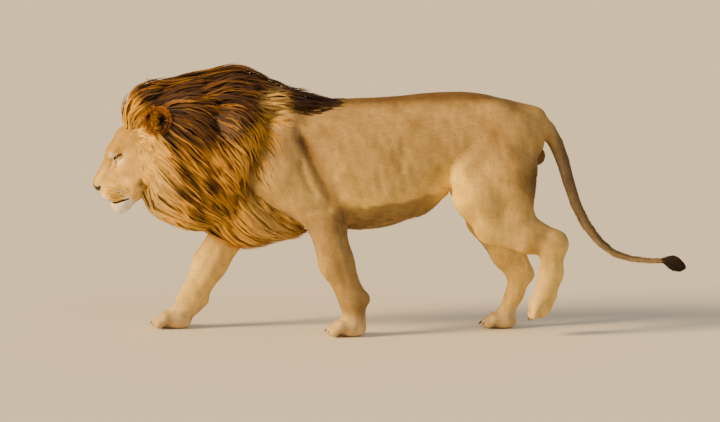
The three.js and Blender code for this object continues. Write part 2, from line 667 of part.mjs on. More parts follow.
// The origin is on the floor, under the middle of the whole animal.
const box = new THREE.Box3().setFromObject(lion);
lion.position.set(-(box.min.x + box.max.x) / 2, -(box.min.y + box.max.y) / 2, -SOLE);

export default lion;
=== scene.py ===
# %% [markdown]
# # A walking lion, life size
#
# This lesson dresses a lion's solid model with a skin, a short coat, a mane, eyes, a nose, claws and
# whiskers. The solids give the outline out to the tips of the hair. What is made here fills that
# outline from the inside: first one skin of flesh that lies a coat's depth below it, then thousands
# of small closed tufts of hair that grow from the skin and lie the way a lion's coat lies.
#
# Hair could be particles or curves, but they are not surfaces and would be lost when the model leaves
# Blender. Every tuft here is a thin closed mesh, and many tufts are joined in each piece.

# %% Load the frame
import math

import bmesh
import bpy
import numpy as np
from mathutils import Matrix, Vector


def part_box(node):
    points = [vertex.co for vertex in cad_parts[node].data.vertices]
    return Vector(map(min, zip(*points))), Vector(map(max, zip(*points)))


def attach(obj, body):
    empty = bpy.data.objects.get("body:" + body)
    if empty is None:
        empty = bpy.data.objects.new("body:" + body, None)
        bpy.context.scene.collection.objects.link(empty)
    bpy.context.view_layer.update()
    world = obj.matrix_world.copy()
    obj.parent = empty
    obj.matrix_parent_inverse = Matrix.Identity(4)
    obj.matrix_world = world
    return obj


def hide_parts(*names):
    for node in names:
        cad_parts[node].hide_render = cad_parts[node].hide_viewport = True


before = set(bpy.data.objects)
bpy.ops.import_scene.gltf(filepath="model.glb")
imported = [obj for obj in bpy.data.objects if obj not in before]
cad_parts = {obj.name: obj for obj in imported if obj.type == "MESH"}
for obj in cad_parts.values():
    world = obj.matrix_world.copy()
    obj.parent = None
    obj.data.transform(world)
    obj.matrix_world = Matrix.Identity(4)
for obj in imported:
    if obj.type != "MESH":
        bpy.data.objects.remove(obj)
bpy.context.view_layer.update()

# %% [markdown]
# ## The drawing and the frame
#
# The animal is drawn in millimetres, side on: it faces -X, its left side is -Y, and z = 0 is the
# floor. The head has axes of its own, since it is carried low: "ahead" points along the muzzle and
# "up" out of the brow, and their origin is between the eyes. The frame tells where the left eye is,
# and that ties the drawing to the frame, so every piece made from it falls in its place.

# %% Driving sizes and the drawing's place in the frame
MM = 0.001
LEFT, BOTH, RIGHT = -1, 0, 1
SIDES = ((LEFT, "left"), (RIGHT, "right"))
STANCE = 118  # each foot's distance from the midline
HEAD_PITCH = math.radians(35)
HEAD_ORIGIN = np.array([-914.0, 0.0, 757.0])
AHEAD = np.array([-math.cos(HEAD_PITCH), 0.0, -math.sin(HEAD_PITCH)])
ASIDE = np.array([0.0, 1.0, 0.0])
UP = np.array([-math.sin(HEAD_PITCH), 0.0, math.cos(HEAD_PITCH)])
SOLID_EYE = np.array([-16.0, -57.0, 4.0])  # the left one: ahead, aside and up from the head's origin
SOLID_EYE_RADIUS = 19


def along_head(ways):
    """Directions in the head's axes, as directions in the drawing."""
    return ways[..., :1] * AHEAD + ways[..., 1:2] * ASIDE + ways[..., 2:] * UP


def from_head(places):
    """Places in the head's axes (ahead, aside, up), as points of the drawing."""
    return HEAD_ORIGIN + along_head(places)


def in_head(points):
    """Points of the drawing in the head's own axes: ahead, aside and up."""
    away = points - HEAD_ORIGIN
    return np.stack([away @ AHEAD, away[:, 1], away @ UP], 1)


eye_low, eye_high = (np.array(corner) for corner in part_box("eye_left"))
eye_place = (eye_low + eye_high) / 2
eye_place[0] = eye_low[0] + SOLID_EYE_RADIUS * MM
SHIFT = eye_place - from_head(SOLID_EYE) * MM


def to_frame(points):
    return points * MM + SHIFT


print("drawing to frame:", SHIFT.round(4))

# %% [markdown]
# ## Soft shapes
#
# A body is a soft union of muscles. Each shape is a field: a number at every point in space that is
# below zero inside the shape and zero on its surface. Two fields join with a fillet when a smooth
# minimum is taken of them. Metaballs work this way too, but they offer no flat or tapered limbs, so
# the fields are written out here. Each shape keeps a box, and is only worked out near it.

# %% Fields over arrays of points
REACH = 70.0  # a shape is exact this near to its box, in mm


def smooth(low, high, x):
    t = np.clip((x - low) / (high - low), 0, 1)
    return t * t * (3 - 2 * t)


def unit(v):
    return v / np.maximum(np.linalg.norm(v, axis=-1, keepdims=True), 1e-9)


def blend(a, b, k):
    h = np.maximum(k - np.abs(a - b), 0) / k
    return np.minimum(a, b) - h * h * k / 4


def carve(a, b, k):
    return -blend(-a, b, k)


class Shape:
    """A soft solid with the box that holds it."""

    def __init__(self, field, low, high):
        self.field, self.low, self.high = field, np.array(low, float), np.array(high, float)

    def __call__(self, points):
        gap = np.maximum(np.maximum(self.low - points, points - self.high), 0)
        value = np.sqrt((gap * gap).sum(1)) + REACH
        close = value < 2 * REACH
        if close.any():
            value[close] = self.field(points[close])
        return value


print("two surfaces that touch, blended over 60 mm, swell by", -blend(0, 0, 60), "mm")

# %% Limbs, lumps and chains
def limb(a, ra, b, rb, flat=1.0):
    a, b = np.array(a, float), np.array(b, float)
    d = b - a

    def field(points):
        w = points - a
        t = np.clip(w @ d / (d @ d), 0, 1)
        w = w - t[:, None] * d
        w[:, 1] /= flat
        return np.sqrt((w * w).sum(1)) - (ra + (rb - ra) * t)

    wide = np.array([1, flat, 1])
    return Shape(field, np.minimum(a - ra * wide, b - rb * wide), np.maximum(a + ra * wide, b + rb * wide))


def lump(centre, radii, pitch=0):
    """An ellipsoid; positive pitch, in degrees about Y, drops its front."""
    centre, radii = np.array(centre, float), np.array(radii, float)
    cos, sin = math.cos(math.radians(pitch)), math.sin(math.radians(pitch))

    def field(points):
        w = points - centre
        u = np.stack([w[:, 0] * cos + w[:, 2] * sin, w[:, 1], w[:, 2] * cos - w[:, 0] * sin], 1) / radii
        k0 = np.sqrt((u * u).sum(1))
        u = u / radii
        return k0 * (k0 - 1) / np.maximum(np.sqrt((u * u).sum(1)), 1e-9)

    reach = radii if pitch == 0 else np.array([radii[[0, 2]].max(), radii[1], radii[[0, 2]].max()])
    return Shape(field, centre - reach, centre + reach)


def flesh(k, shapes):
    """Shapes of one part, joined softly."""
    def field(points):
        value = shapes[0](points)
        for shape in shapes[1:]:
            value = blend(value, shape(points), k)
        return value

    return Shape(field, np.min([s.low for s in shapes], 0), np.max([s.high for s in shapes], 0))


def chain(joints, flat=1.0):
    """Limb segments through joints [x, y, z, radius]."""
    return [limb(a[:3], a[3], b[:3], b[3], flat) for a, b in zip(joints, joints[1:])]


def deeper(shape, depth):
    """The same shape, drawn in by a coat's depth."""
    return Shape(lambda points: shape.field(points) + depth, shape.low, shape.high)


print("a shape is worked out within", REACH, "mm of its box, and guessed beyond it")

# %% [markdown]
# ## Flesh of the trunk, neck and tail
#
# The trunk is a barrel whose oval section runs smoothly along the body, with the croup, the withers
# and the breast as lumps on it. Under the mane the solids only say where the hair ends, so the neck
# inside it comes from the species: a male lion's neck is about 25 cm through. The coat lies 5 mm deep
# on the body, 4 mm on the legs, and less on the feet and face.

# %% Trunk, neck and tail
DEPTH_TRUNK, DEPTH_LEG, DEPTH_HEAD, DEPTH_TAIL = 5.0, 4.0, 2.5, 3.0


def barrel(stations):
    """An oval section along X, from rows of x, top, bottom and half width."""
    s = np.array(stations, float)
    slope = np.gradient(s[:, 1:], s[:, 0], axis=0)

    def field(points):
        x = np.clip(points[:, 0], s[0, 0], s[-1, 0])
        i = np.clip(np.searchsorted(s[:, 0], x) - 1, 0, len(s) - 2)
        span = s[i + 1, 0] - s[i, 0]
        t = ((x - s[i, 0]) / span)[:, None]
        span = span[:, None]
        row = (
            (1 + 2 * t) * (1 - t) ** 2 * s[i, 1:] + t * (1 - t) ** 2 * span * slope[i]
            + t * t * (3 - 2 * t) * s[i + 1, 1:] + t * t * (t - 1) * span * slope[i + 1]
        )
        rise, half = (row[:, 0] - row[:, 1]) / 2, row[:, 2]
        v, w = points[:, 1] / half, (points[:, 2] - (row[:, 0] + row[:, 1]) / 2) / rise
        k0 = np.hypot(v, w)
        side = k0 * (k0 - 1) / np.maximum(np.hypot(v / half, w / rise), 1e-9)
        return np.maximum(side, np.maximum(s[0, 0] - points[:, 0], points[:, 0] - s[-1, 0]))

    half = s[:, 3].max()
    return Shape(field, [s[0, 0], -half, s[:, 2].min()], [s[-1, 0], half, s[:, 1].max()])


trunk = deeper(flesh(60, [
    barrel([
        (-300, 964, 520, 120), (-180, 994, 462, 150), (-60, 1010, 446, 168), (65, 1016, 446, 174),
        (215, 1022, 446, 174), (300, 1028, 470, 168), (390, 1038, 524, 156), (480, 1044, 592, 144),
        (590, 1044, 640, 140), (700, 1026, 660, 138), (790, 990, 690, 120),
        (832, 958, 724, 92), (862, 916, 770, 56),
    ]),
    lump((-265, 0, 720), (150, 135, 225), 12),  # breast
    lump((790, 0, 850), (125, 118, 140)),  # croup
    lump((-150, 0, 944), (130, 62, 66), 6),  # withers
    lump((415, 0, 556), (66, 28, 32), 36),  # sheath
    lump((862, 0, 922), (62, 44, 50), 35),  # root of the tail
    *chain([(-200, 0, 830, 130), (-420, 0, 838, 122), (-600, 0, 846, 112), (-740, 0, 842, 104)], 0.86),
]), DEPTH_TRUNK)
scrotum = deeper(lump((892, 0, 762), (36, 34, 42), -20), DEPTH_LEG)

# x, z and radius down the middle of the tail, to the end of its bone inside the tuft
TAIL = [
    (830, 938, 46), (885, 922, 44), (934, 876, 38), (970, 818, 34), (999, 745, 31), (1026, 650, 28),
    (1056, 558, 26), (1100, 470, 23), (1156, 396, 20), (1222, 342, 17), (1296, 319, 15), (1370, 311, 13.5),
    (1440, 310, 12), (1500, 298, 8),
]
tail = deeper(flesh(4, chain([(x, 0, z, r) for x, z, r in TAIL])), DEPTH_TAIL)
print("the trunk reaches from", trunk.low, "to", trunk.high)

# %% [markdown]
# ## Legs and paws
#
# Each leg is a run of limbs through its joints, flattened from side to side, with the muscle bellies
# added as lumps. A paw is four toes side by side over one pad. Three feet carry the lion; the left hind
# foot swings forward with its toes hanging.

# %% Paws
TOE_PLACES = (-1.5, -0.5, 0.5, 1.5)  # across the paw, in toe widths
OUTER_TOE = 0.86  # reach of the outer toes, as a share of the middle ones'
# reach, width, height of the knuckles and of the tips
FORE_PAW, HIND_PAW = (92, 124, 46, 20), (82, 108, 42, 18)
HANGING_REACH, HANGING_OUTER = 30, 22


def toe_reaches(middle, outer):
    """Each toe's place across the paw, and how far it reaches."""
    return [(place, middle if abs(place) < 1 else outer) for place in TOE_PLACES]


def paw(x, y, length, width, knuckle, tip):
    toes = []
    for place, reach in toe_reaches(length, length * OUTER_TOE):
        root = (x + 6, y + place * width / 5.6, knuckle)
        bend = (x - 0.6 * reach, y + place * width / 4.3, knuckle + 2)
        end = (x - 0.96 * reach, y + place * width / 4.1, tip + 6)
        toes.append(limb(root, 0.22 * width, bend, 0.21 * width))
        toes.append(limb(bend, 0.21 * width, end, 0.205 * width))
    return flesh(8, [*toes, lump((x - 5, y, 27), (62, width * 0.46, 32))])


def hanging_paw(x, y, z):
    toes = []
    for place, reach in toe_reaches(HANGING_REACH, HANGING_OUTER):
        toes.append(limb((x - 8, y + place * 20, z - 6), 24, (x - reach, y + place * 25, z - 46), 22))
    return flesh(8, [*toes, lump((x + 12, y, z - 28), (30, 40, 36), -20)])


print("a fore paw is", FORE_PAW[1], "mm wide and a hind paw", HIND_PAW[1])

# %% Fore legs
# x and z of each joint; the triceps has its tilt too, and the paw only its x
FORE_LEFT = {
    "blade": (-175, 925), "shoulder": (-205, 690), "elbow": (-14, 486), "forearm": (28, 318),
    "wrist": (98, 160), "foot": (108, 62), "triceps": (-75, 655, -42), "paw": 96,
}
FORE_RIGHT = {
    "blade": (-200, 915), "shoulder": (-330, 680), "elbow": (-430, 430), "forearm": (-520, 286),
    "wrist": (-604, 122), "foot": (-652, 58), "triceps": (-285, 600, 15), "paw": -664,
}


def fore_leg(side, j):
    y = side * STANCE

    def at(joint, aside=STANCE):
        return j[joint][0], side * aside, j[joint][1]

    return flesh(34, [
        limb(at("blade", 78), 62, at("shoulder", 112), 92, 0.75),
        limb(at("shoulder", 112), 96, at("elbow"), 74, 0.72),
        lump((j["triceps"][0], side * 116, j["triceps"][1]), (118, 48, 92), j["triceps"][2]),
        limb(at("elbow"), 82, at("forearm"), 74, 0.74),
        limb(at("forearm"), 74, at("wrist"), 57, 0.78),
        limb(at("wrist"), 57, at("foot"), 50, 0.9),
        lump((j["wrist"][0] + 58, y, j["wrist"][1] + 2), (16, 15, 20)),
        paw(j["paw"], y, *FORE_PAW),
    ])


print("stride of the fore legs:", FORE_LEFT["paw"] - FORE_RIGHT["paw"], "mm")

# %% Hind legs
HIND_LEFT_FOOT = (896, -118, 140)  # lifted
HIND_RIGHT_FOOT = (754, 116)


def haunch(side):
    return [
        limb((700, side * 66, 930), 74, (745, side * 98, 720), 140, 0.6),
        limb((622, side * 84, 730), 112, (640, side * 112, 600), 112, 0.58),
        limb((815, side * 76, 830), 72, (790, side * 108, 640), 84, 0.66),
        lump((868, side * 52, 842), (46, 36, 62), 20),
    ]


hind_left_leg = flesh(38, [
    *haunch(LEFT),
    limb((645, -112, 600), 108, (688, -128, 478), 66, 0.62),
    limb((785, -108, 620), 86, (800, -118, 520), 76, 0.62),
    *chain([(694, -128, 470, 74), (850, -120, 422, 64), (952, -118, 402, 49)], 0.66),
    limb((806, -112, 500), 46, (984, -118, 424), 22, 0.6),  # heel tendon
    lump((960, -118, 396), (58, 42, 50)),  # hock
    *chain([(954, -118, 380, 54), (946, -118, 270, 50), (922, -118, 178, 45), (900, -118, 142, 46)], 0.76),
    hanging_paw(*HIND_LEFT_FOOT),
])
hind_right_leg = flesh(38, [
    *haunch(RIGHT),
    limb((640, 112, 600), 108, (662, 124, 474), 66, 0.62),
    limb((785, 108, 620), 84, (770, 116, 500), 66, 0.62),
    *chain([(664, 124, 470, 74), (760, 118, 322, 58), (818, 116, 226, 46)], 0.68),
    limb((770, 114, 420), 42, (868, 116, 236), 20, 0.7),  # heel tendon
    *chain([(824, 116, 228, 44), (800, 116, 150, 36), (762, 116, 66, 42)], 0.8),
    paw(*HIND_RIGHT_FOOT, *HIND_PAW),
])
LEGS = {
    "fore_left": deeper(fore_leg(LEFT, FORE_LEFT), DEPTH_LEG),
    "fore_right": deeper(fore_leg(RIGHT, FORE_RIGHT), DEPTH_LEG),
    "hind_left": deeper(hind_left_leg, DEPTH_LEG),
    "hind_right": deeper(hind_right_leg, DEPTH_LEG),
}
print("legs:", ", ".join(LEGS))

# %% [markdown]
# ## The head
#
# The skull is built in the head's own axes: braincase, forehead, the broad bridge of the nose, the
# two swollen upper lips with the whiskers, the chin and jaw, the cheekbones and the chewing muscles.
# Onto that come the folds that make a face: a socket with a ball of lids in it, cut by an
# almond-shaped slit because the lion squints into the sun, the nostrils, the groove under the nose,
# the line of the mouth, and the crease in front of the cheek.

# %% Skull, lids and nostrils
EYE_RADIUS = 17.5
EYE = np.array([-16.0, 54.0, 4.0])  # ahead, aside, up
LID = 2.4  # thickness of the lids
SLIT_LENGTH, SLIT_HEIGHT = 19.0, 4.3  # half length and half height of the opening between the lids


def mirrored(head):
    """The head's points folded on to its left half, so that paired shapes are drawn once."""
    return np.stack([head[:, 0], np.abs(head[:, 1]), head[:, 2]], 1)


skull = flesh(26, [
    lump((-118, 0, -10), (128, 96, 96)),  # braincase
    lump((-34, 0, 20), (72, 66, 54)),  # forehead
    lump((-84, 0, 58), (46, 60, 42)),  # its top, under the forelock
    limb((12, 0, 6), 38, (116, 0, -42), 33, 1.06),  # bridge of the nose
    lump((118, 0, -62), (34, 36, 36)),  # nose
    lump((40, 0, -86), (90, 62, 66)),  # root of the muzzle
    lump((104, 0, -172), (42, 37, 42)),  # chin
    limb((88, 0, -164), 40, (-30, 0, -152), 58, 1.1),  # lower jaw
])
paired = flesh(22, [
    lump((92, 30, -104), (56, 38, 46)),  # upper lip
    lump((-50, 62, -54), (76, 42, 58)),  # cheekbone
    lump((-104, 72, -104), (84, 48, 84)),  # chewing muscle
    lump((-8, 39, 27), (36, 26, 20)),  # brow
    lump((-26, 42, -118), (72, 44, 56)),  # side of the jaw
])
socket = lump((EYE[0] + 8, EYE[1] + 31, EYE[2] - 3), (30, 24, 19))
lids = lump(EYE, (EYE_RADIUS + LID,) * 3)
GAZE = unit(np.array([0.56, 0.76, 0.24]))  # out of the slit
ALONG_SLIT = unit(np.array([-0.78, 0.58, 0.10]))  # from the inner corner to the outer one
ACROSS_SLIT = np.cross(GAZE, ALONG_SLIT) * -1
ear_root = limb((-180, 60, 14), 46, (-277, 90, -4), 34)
nostril = flesh(4, [
    lump((150, 13, -54), (15, 7, 8)),
    limb((148, 16, -57), 4.5, (121, 33, -64), 2.2),
])
print("opening between the lids:", 2 * SLIT_LENGTH, "by", 2 * SLIT_HEIGHT, "mm")

# %% Distances to the eye's opening and to drawn lines
def almond(folded):
    """The opening between the lids: below zero in it, and about the distance to its edge outside."""
    away = folded - EYE
    s, t, out = away @ ALONG_SLIT, away @ ACROSS_SLIT, away @ GAZE
    half = SLIT_HEIGHT * (1 - (s / SLIT_LENGTH) ** 2)
    return np.maximum(np.abs(t - 0.02 * s * s / SLIT_HEIGHT) - half, 4 - out)


def line_distance(points, line):
    """Distance from points (a, b) to a polyline, and how far along the line the nearest place is."""
    line = np.array(line, float)
    best, place = np.full(len(points), 1e9), np.zeros(len(points))
    length = np.linalg.norm(np.diff(line, axis=0), axis=1)
    start = np.concatenate([[0], np.cumsum(length)])
    for i, (a, b) in enumerate(zip(line, line[1:])):
        t = np.clip((points - a) @ (b - a) / length[i] ** 2, 0, 1)
        away = np.linalg.norm(points - a - t[:, None] * (b - a), axis=1)
        nearer = away < best
        best[nearer] = away[nearer]
        place[nearer] = (start[i] + t * length[i])[nearer]
    return best, place / start[-1]


middle_of_eye = almond(EYE[None] + GAZE * EYE_RADIUS)[0]
print(f"the middle of the eye is {-middle_of_eye:.1f} mm inside its opening")

# %% Lines and spots of the face
MOUTH = [(160, -126), (134, -140), (112, -155), (84, -163), (58, -172)]  # ahead, up
TEAR = [(6, -7), (16, -18), (25, -38)]
CHEEK_CREASE = [(40, -62), (26, -92), (24, -130), (40, -160)]
# Each fold: its line, depth and width in mm; a negative depth is a ridge
FACE_FOLDS = [
    (MOUTH, 9.0, 4.5), (TEAR, 2.2, 4.0), (CHEEK_CREASE, 3.0, 11.0),
    ([(-38, 36), (-14, 40), (12, 28)], -2.6, 9.0),  # upper edge of the brow
    ([(12, 14), (26, -6), (58, -20)], 2.2, 8.0),  # beside the bridge of the nose
    ([(-52, -8), (-38, -20), (-13, -26), (11, -23)], 2.0, 5.0),  # bag under the eye
]
WHISKER_SPOTS = [
    (102 + 3 * row + (3 * row - 42) * k / 5, -75 - 15 * row + (2 * row - 45) * k / 5)
    for row in range(4) for k in range(6 if row < 3 else 4)
]
print("whisker spots on each side:", len(WHISKER_SPOTS))

# %% The whole head
def head_field(head):
    folded = mirrored(head)
    value = blend(skull(head), paired(folded), 22)
    value = blend(value, ear_root(folded), 24)
    value = carve(value, socket(folded), 14)
    side = head[:, [0, 2]]
    near = np.abs(value) < 24
    extra = np.zeros(len(head))
    for line, depth, width in FACE_FOLDS:
        away, place = line_distance(side[near], line)
        fold = depth * np.exp(-((away / width) ** 2))
        if line is not MOUTH:  # only the mouth runs on round the muzzle, without fading at its ends
            fold *= smooth(0, 0.12, place) * smooth(0, 0.12, 1 - place) * smooth(12, 30, folded[near, 1])
        extra[near] += fold
    philtrum = smooth(118, 132, head[:, 0]) * smooth(-66, -78, head[:, 2]) * smooth(-146, -130, head[:, 2])
    extra += 6 * philtrum * np.exp(-((head[:, 1] / 3.5) ** 2))
    value = value + extra + DEPTH_HEAD
    value = blend(value, lids(folded), 9)
    value = carve(value, nostril(folded), 2)
    return carve(value, almond(folded), 2.0)


HEAD_BOX = (np.array([-1090, -190, 460]), np.array([-640, 190, 1010]))
head = Shape(lambda points: head_field(in_head(points)), *HEAD_BOX)
print("field between the eyes:", round(float(head(HEAD_ORIGIN[None])[0]), 1), "mm, so that place is inside")

# %% [markdown]
# ## Grooves between the muscles
#
# Light raking along a lion shows the edge of the shoulder blade, the long muscle behind the arm, the
# ribs, the fold of skin that joins the belly to the thigh, and the tendons above the heel. Each is a
# line drawn in side view with a depth and a width, on one side of the body or both. The field is
# raised along it, and that sinks the surface.

# %% Lines of the muscles
MUSCLE_LINES = [
    # side, depth, width, line of (x, z)
    (LEFT, 16, 17, [(-146, 940), (-122, 850), (-70, 740), (-22, 640), (20, 545)]),  # behind the shoulder
    (LEFT, 15, 50, [(-110, 900), (-80, 840), (-26, 740), (22, 640), (50, 560)]),  # the hollow beyond it
    (LEFT, 9, 13, [(-128, 800), (-112, 710), (-80, 640), (-40, 590)]),  # over the triceps
    (LEFT, 6, 16, [(-250, 900), (-235, 800), (-190, 700)]),  # along the shoulder blade
    (LEFT, 9, 13, [(-120, 545), (-50, 560), (20, 545)]),  # fold of the elbow
    (RIGHT, 14, 18, [(-150, 940), (-128, 860), (-130, 760), (-150, 650), (-200, 560)]),
    (RIGHT, 12, 46, [(-110, 900), (-90, 840), (-90, 740), (-110, 650), (-160, 570)]),
    (RIGHT, 7, 16, [(-300, 560), (-350, 500), (-400, 470)]),
    (BOTH, 11, 24, [(470, 640), (520, 730), (590, 800), (640, 850)]),  # front of the thigh
    (BOTH, 8, 20, [(840, 880), (838, 780), (846, 680), (830, 600)]),  # between the thigh muscles
    (BOTH, -8, 16, [(430, 560), (486, 600), (540, 585)]),  # the flank's fold of skin
    (BOTH, 6, 16, [(700, 900), (730, 820), (740, 740)]),
    (BOTH, 5, 14, [(300, 860), (312, 770), (290, 680)]),  # folds of loose skin on the flank
    (BOTH, 4, 12, [(210, 760), (204, 690), (230, 600)]),
    (LEFT, 6, 12, [(850, 470), (905, 446), (950, 430)]),  # hollow before the heel tendon
    (RIGHT, 5, 12, [(790, 380), (822, 310), (846, 262)]),
    (LEFT, 4, 12, [(20, 400), (48, 300), (84, 200)]),  # along the forearm
    (RIGHT, 4, 12, [(-470, 400), (-530, 290), (-590, 180)]),
    (BOTH, 6, 12, [(120, 452), (240, 458), (380, 500)]),  # loose skin of the belly
]
RIBS = range(-20, 330, 52)  # where each rib's shadow crosses the flank, in x
SHOULDER_FILLET = 46
SOLE = 0.2  # the three standing feet end flat, just over the floor
print(len(MUSCLE_LINES), "grooves and ridges, and", len(RIBS), "ribs")

# %% The whole skin's field
def muscle_relief(points):
    x, y, z = points.T
    side = points[:, [0, 2]]
    relief = np.zeros(len(points))
    for which, depth, width, line in MUSCLE_LINES:
        line = np.array(line, float)
        pad = 3 * width
        close = ((side > line.min(0) - pad) & (side < line.max(0) + pad)).all(1)
        if which != BOTH:
            close &= y * which > 0
        if not close.any():
            continue
        away, place = line_distance(side[close], line)
        fade = smooth(0, 0.25, place) * smooth(0, 0.25, 1 - place)
        relief[close] += depth * fade * np.exp(-((away / width) ** 2))
    flank = smooth(560, 640, z) * smooth(930, 800, z) * smooth(100, 130, np.abs(y))
    for rib in RIBS:
        lean = x - rib - 0.35 * (900 - z)
        relief += 2.0 * flank * np.exp(-((lean / 13) ** 2))
    return relief


def skin_field(points):
    core = trunk(points)
    value = core.copy()
    for name, leg in LEGS.items():
        side = LEFT if name.endswith("left") else RIGHT
        own = points[:, 1] * side > -8
        value[own] = np.minimum(value[own], blend(core[own], leg(points[own]), SHOULDER_FILLET))
    near = np.abs(value) < 60
    if near.any():
        value[near] += muscle_relief(points[near])
    value = blend(value, tail(points), 20)
    value = blend(value, scrotum(points), 10)
    value = blend(value, head(points), 40)
    return np.maximum(value, SOLE - points[:, 2])


belly = np.array([[200.0, 0.0, 700.0], [200.0, 0.0, 300.0]])
print("the field inside the belly and under it:", skin_field(belly).round(), "mm")

# %% [markdown]
# ## From a field to a mesh
#
# Marching cubes would do, but a surface net gives even quads: space is cut into cells, each cell that
# the surface crosses gets one vertex, and each grid edge that it crosses gets one quad. The vertices
# then slide down the field's slope on to the surface. The whole body takes 12 mm cells; the head,
# the feet and then the face are divided again and slid on to the surface again, so that the skin is
# fine only where it needs to be.

# %% A field worked out in portions
CHUNK = 60000


def worked_out(field, points):
    return np.concatenate([field(points[i:i + CHUNK]) for i in range(0, len(points), CHUNK)])


def grid_points(axes):
    return np.stack(np.meshgrid(*axes, indexing="ij"), -1).reshape(-1, 3)


def slope_of(field, points, here=None, step=0.4):
    here = worked_out(field, points) if here is None else here
    return np.stack([(worked_out(field, points + step * e) - here) / step for e in np.eye(3)], 1)


print("points worked out at a time:", CHUNK)

# %% A surface net
def surface_net(field, low, high, cell):
    """Vertices and quads of a field's zero surface in a box."""
    low, high = np.array(low, float), np.array(high, float)
    n = 2 * np.ceil((high - low) / cell / 2).astype(int)
    coarse_axes = [low[m] + 2 * cell * np.arange(n[m] // 2) + cell / 2 for m in range(3)]
    coarse = worked_out(field, grid_points(coarse_axes)).reshape(n // 2)
    value = coarse.repeat(2, 0).repeat(2, 1).repeat(2, 2)
    near = np.abs(value) < 4 * cell
    points = low + cell * np.argwhere(near)
    value[near] = worked_out(field, points)
    inside = value < 0
    corners = [(i, j, k) for i in (0, 1) for j in (0, 1) for k in (0, 1)]
    m = n - 1
    count = sum(inside[i:m[0] + i, j:m[1] + j, k:m[2] + k].astype(int) for i, j, k in corners)
    cells = np.argwhere((count > 0) & (count < 8))
    number = np.full(m, -1)
    number[tuple(cells.T)] = np.arange(len(cells))
    total, hits = np.zeros((len(cells), 3)), np.zeros((len(cells), 1))
    for axis in range(3):
        step = np.eye(3, dtype=int)[axis]
        for corner in corners:
            if corner[axis]:
                continue
            a = value[tuple((cells + corner).T)]
            b = value[tuple((cells + corner + step).T)]
            crossed = (a < 0) != (b < 0)
            t = (a[crossed] / (a[crossed] - b[crossed]))[:, None]
            total[crossed] += np.array(corner) + t * step
            hits[crossed] += 1
    vertices = low + cell * (cells + total / hits)
    quads = []
    for axis in range(3):
        u, v = (axis + 1) % 3, (axis + 2) % 3
        step = np.eye(3, dtype=int)
        first = np.argwhere(np.diff(inside.astype(int), axis=axis) != 0)
        first = first[(first[:, u] > 0) & (first[:, v] > 0) & (first[:, u] < m[u]) & (first[:, v] < m[v])]
        ring = [number[tuple((first - du * step[u] - dv * step[v]).T)]
                for du, dv in ((0, 0), (1, 0), (1, 1), (0, 1))]
        ring = np.stack(ring, 1)
        flip = ~inside[tuple(first.T)]
        ring[flip] = ring[flip][:, ::-1]
        quads.append(ring)
    return vertices, np.concatenate(quads)


# %% Sliding vertices on to the surface
def settle(field, vertices, passes, most):
    """Slides vertices along the field's slope on to its zero surface, by at most so far a pass."""
    for _ in range(passes):
        here = worked_out(field, vertices)
        slope = slope_of(field, vertices, here)
        move = -here[:, None] * slope / np.maximum((slope * slope).sum(1, keepdims=True), 0.15)
        far = np.linalg.norm(move, axis=1, keepdims=True)
        vertices = vertices + move * np.minimum(1, most / np.maximum(far, 1e-9))
    return vertices


ball = lump((0, 0, 0), (50, 50, 50))
ball_net, ball_faces = surface_net(ball, (-60, -60, -60), (60, 60, 60), 12.0)
off = np.abs(np.linalg.norm(settle(ball, ball_net, 2, 6.0), axis=1) - 50).max()
print(f"a ball of 50 mm makes {len(ball_faces)} quads, off by {off:.3f} mm at most")

# %% Mesh helpers
def rows_of(collection, key, kind=float):
    """A property with three numbers for each item of a mesh, as rows."""
    flat = np.empty(len(collection) * 3, kind)
    collection.foreach_get(key, flat)
    return flat.reshape(-1, 3)


def mesh_of(name, vertices, faces=()):
    mesh = bpy.data.meshes.new(name)
    mesh.from_pydata(vertices.tolist(), [], faces.tolist() if isinstance(faces, np.ndarray) else faces)
    return mesh


def outwards(mesh):
    """Turns every face of closed shapes outwards."""
    bm = bmesh.new()
    bm.from_mesh(mesh)
    bmesh.ops.recalc_face_normals(bm, faces=bm.faces)
    bm.to_mesh(mesh)
    bm.free()


def refine(mesh, field, wanted, cell):
    """Divides the faces that a rule picks, and slides what is new on to the surface."""
    bm = bmesh.new()
    bm.from_mesh(mesh)
    centres = np.array([f.calc_center_median() for f in bm.faces])
    picked = wanted(centres)
    edges = {e for f, want in zip(bm.faces, picked) if want for e in f.edges}
    bmesh.ops.subdivide_edges(bm, edges=list(edges), cuts=1, use_grid_fill=True)
    bm.to_mesh(mesh)
    bm.free()
    places = rows_of(mesh.vertices, "co")
    moving = wanted(places)
    places[moving] = settle(field, places[moving], 2, cell * 0.5)
    mesh.vertices.foreach_set("co", places.ravel())
    return mesh


def triangles_in(mesh):
    mesh.calc_loop_triangles()
    return len(mesh.loop_triangles)


# %% The body's skin, coarse and then fine
CELL = 12.0


def for_head_and_feet(points):
    head_place = in_head(points)
    face = (head_place[:, 0] > -95) & (points[:, 0] < -760) & (points[:, 2] < 900)
    feet = points[:, 2] < 105
    hanging = (points[:, 0] > 800) & (points[:, 2] < 190) & (points[:, 1] < 0)
    thin_tail = points[:, 0] > 1240
    return face | feet | hanging | thin_tail


def for_face(points):
    h = in_head(points)
    return (h[:, 0] > -48) & (points[:, 0] < -800) & (h[:, 2] > -235)


def for_features(points):
    h = mirrored(in_head(points))
    away, _ = line_distance(h[:, [0, 2]], MOUTH)
    eye = np.linalg.norm(h - EYE, axis=1) < 27
    nose = (h[:, 0] > 112) & (h[:, 2] > -100) & (h[:, 2] < -34) & (h[:, 1] < 38)
    return eye | nose | ((away < 8) & (h[:, 0] > 40))


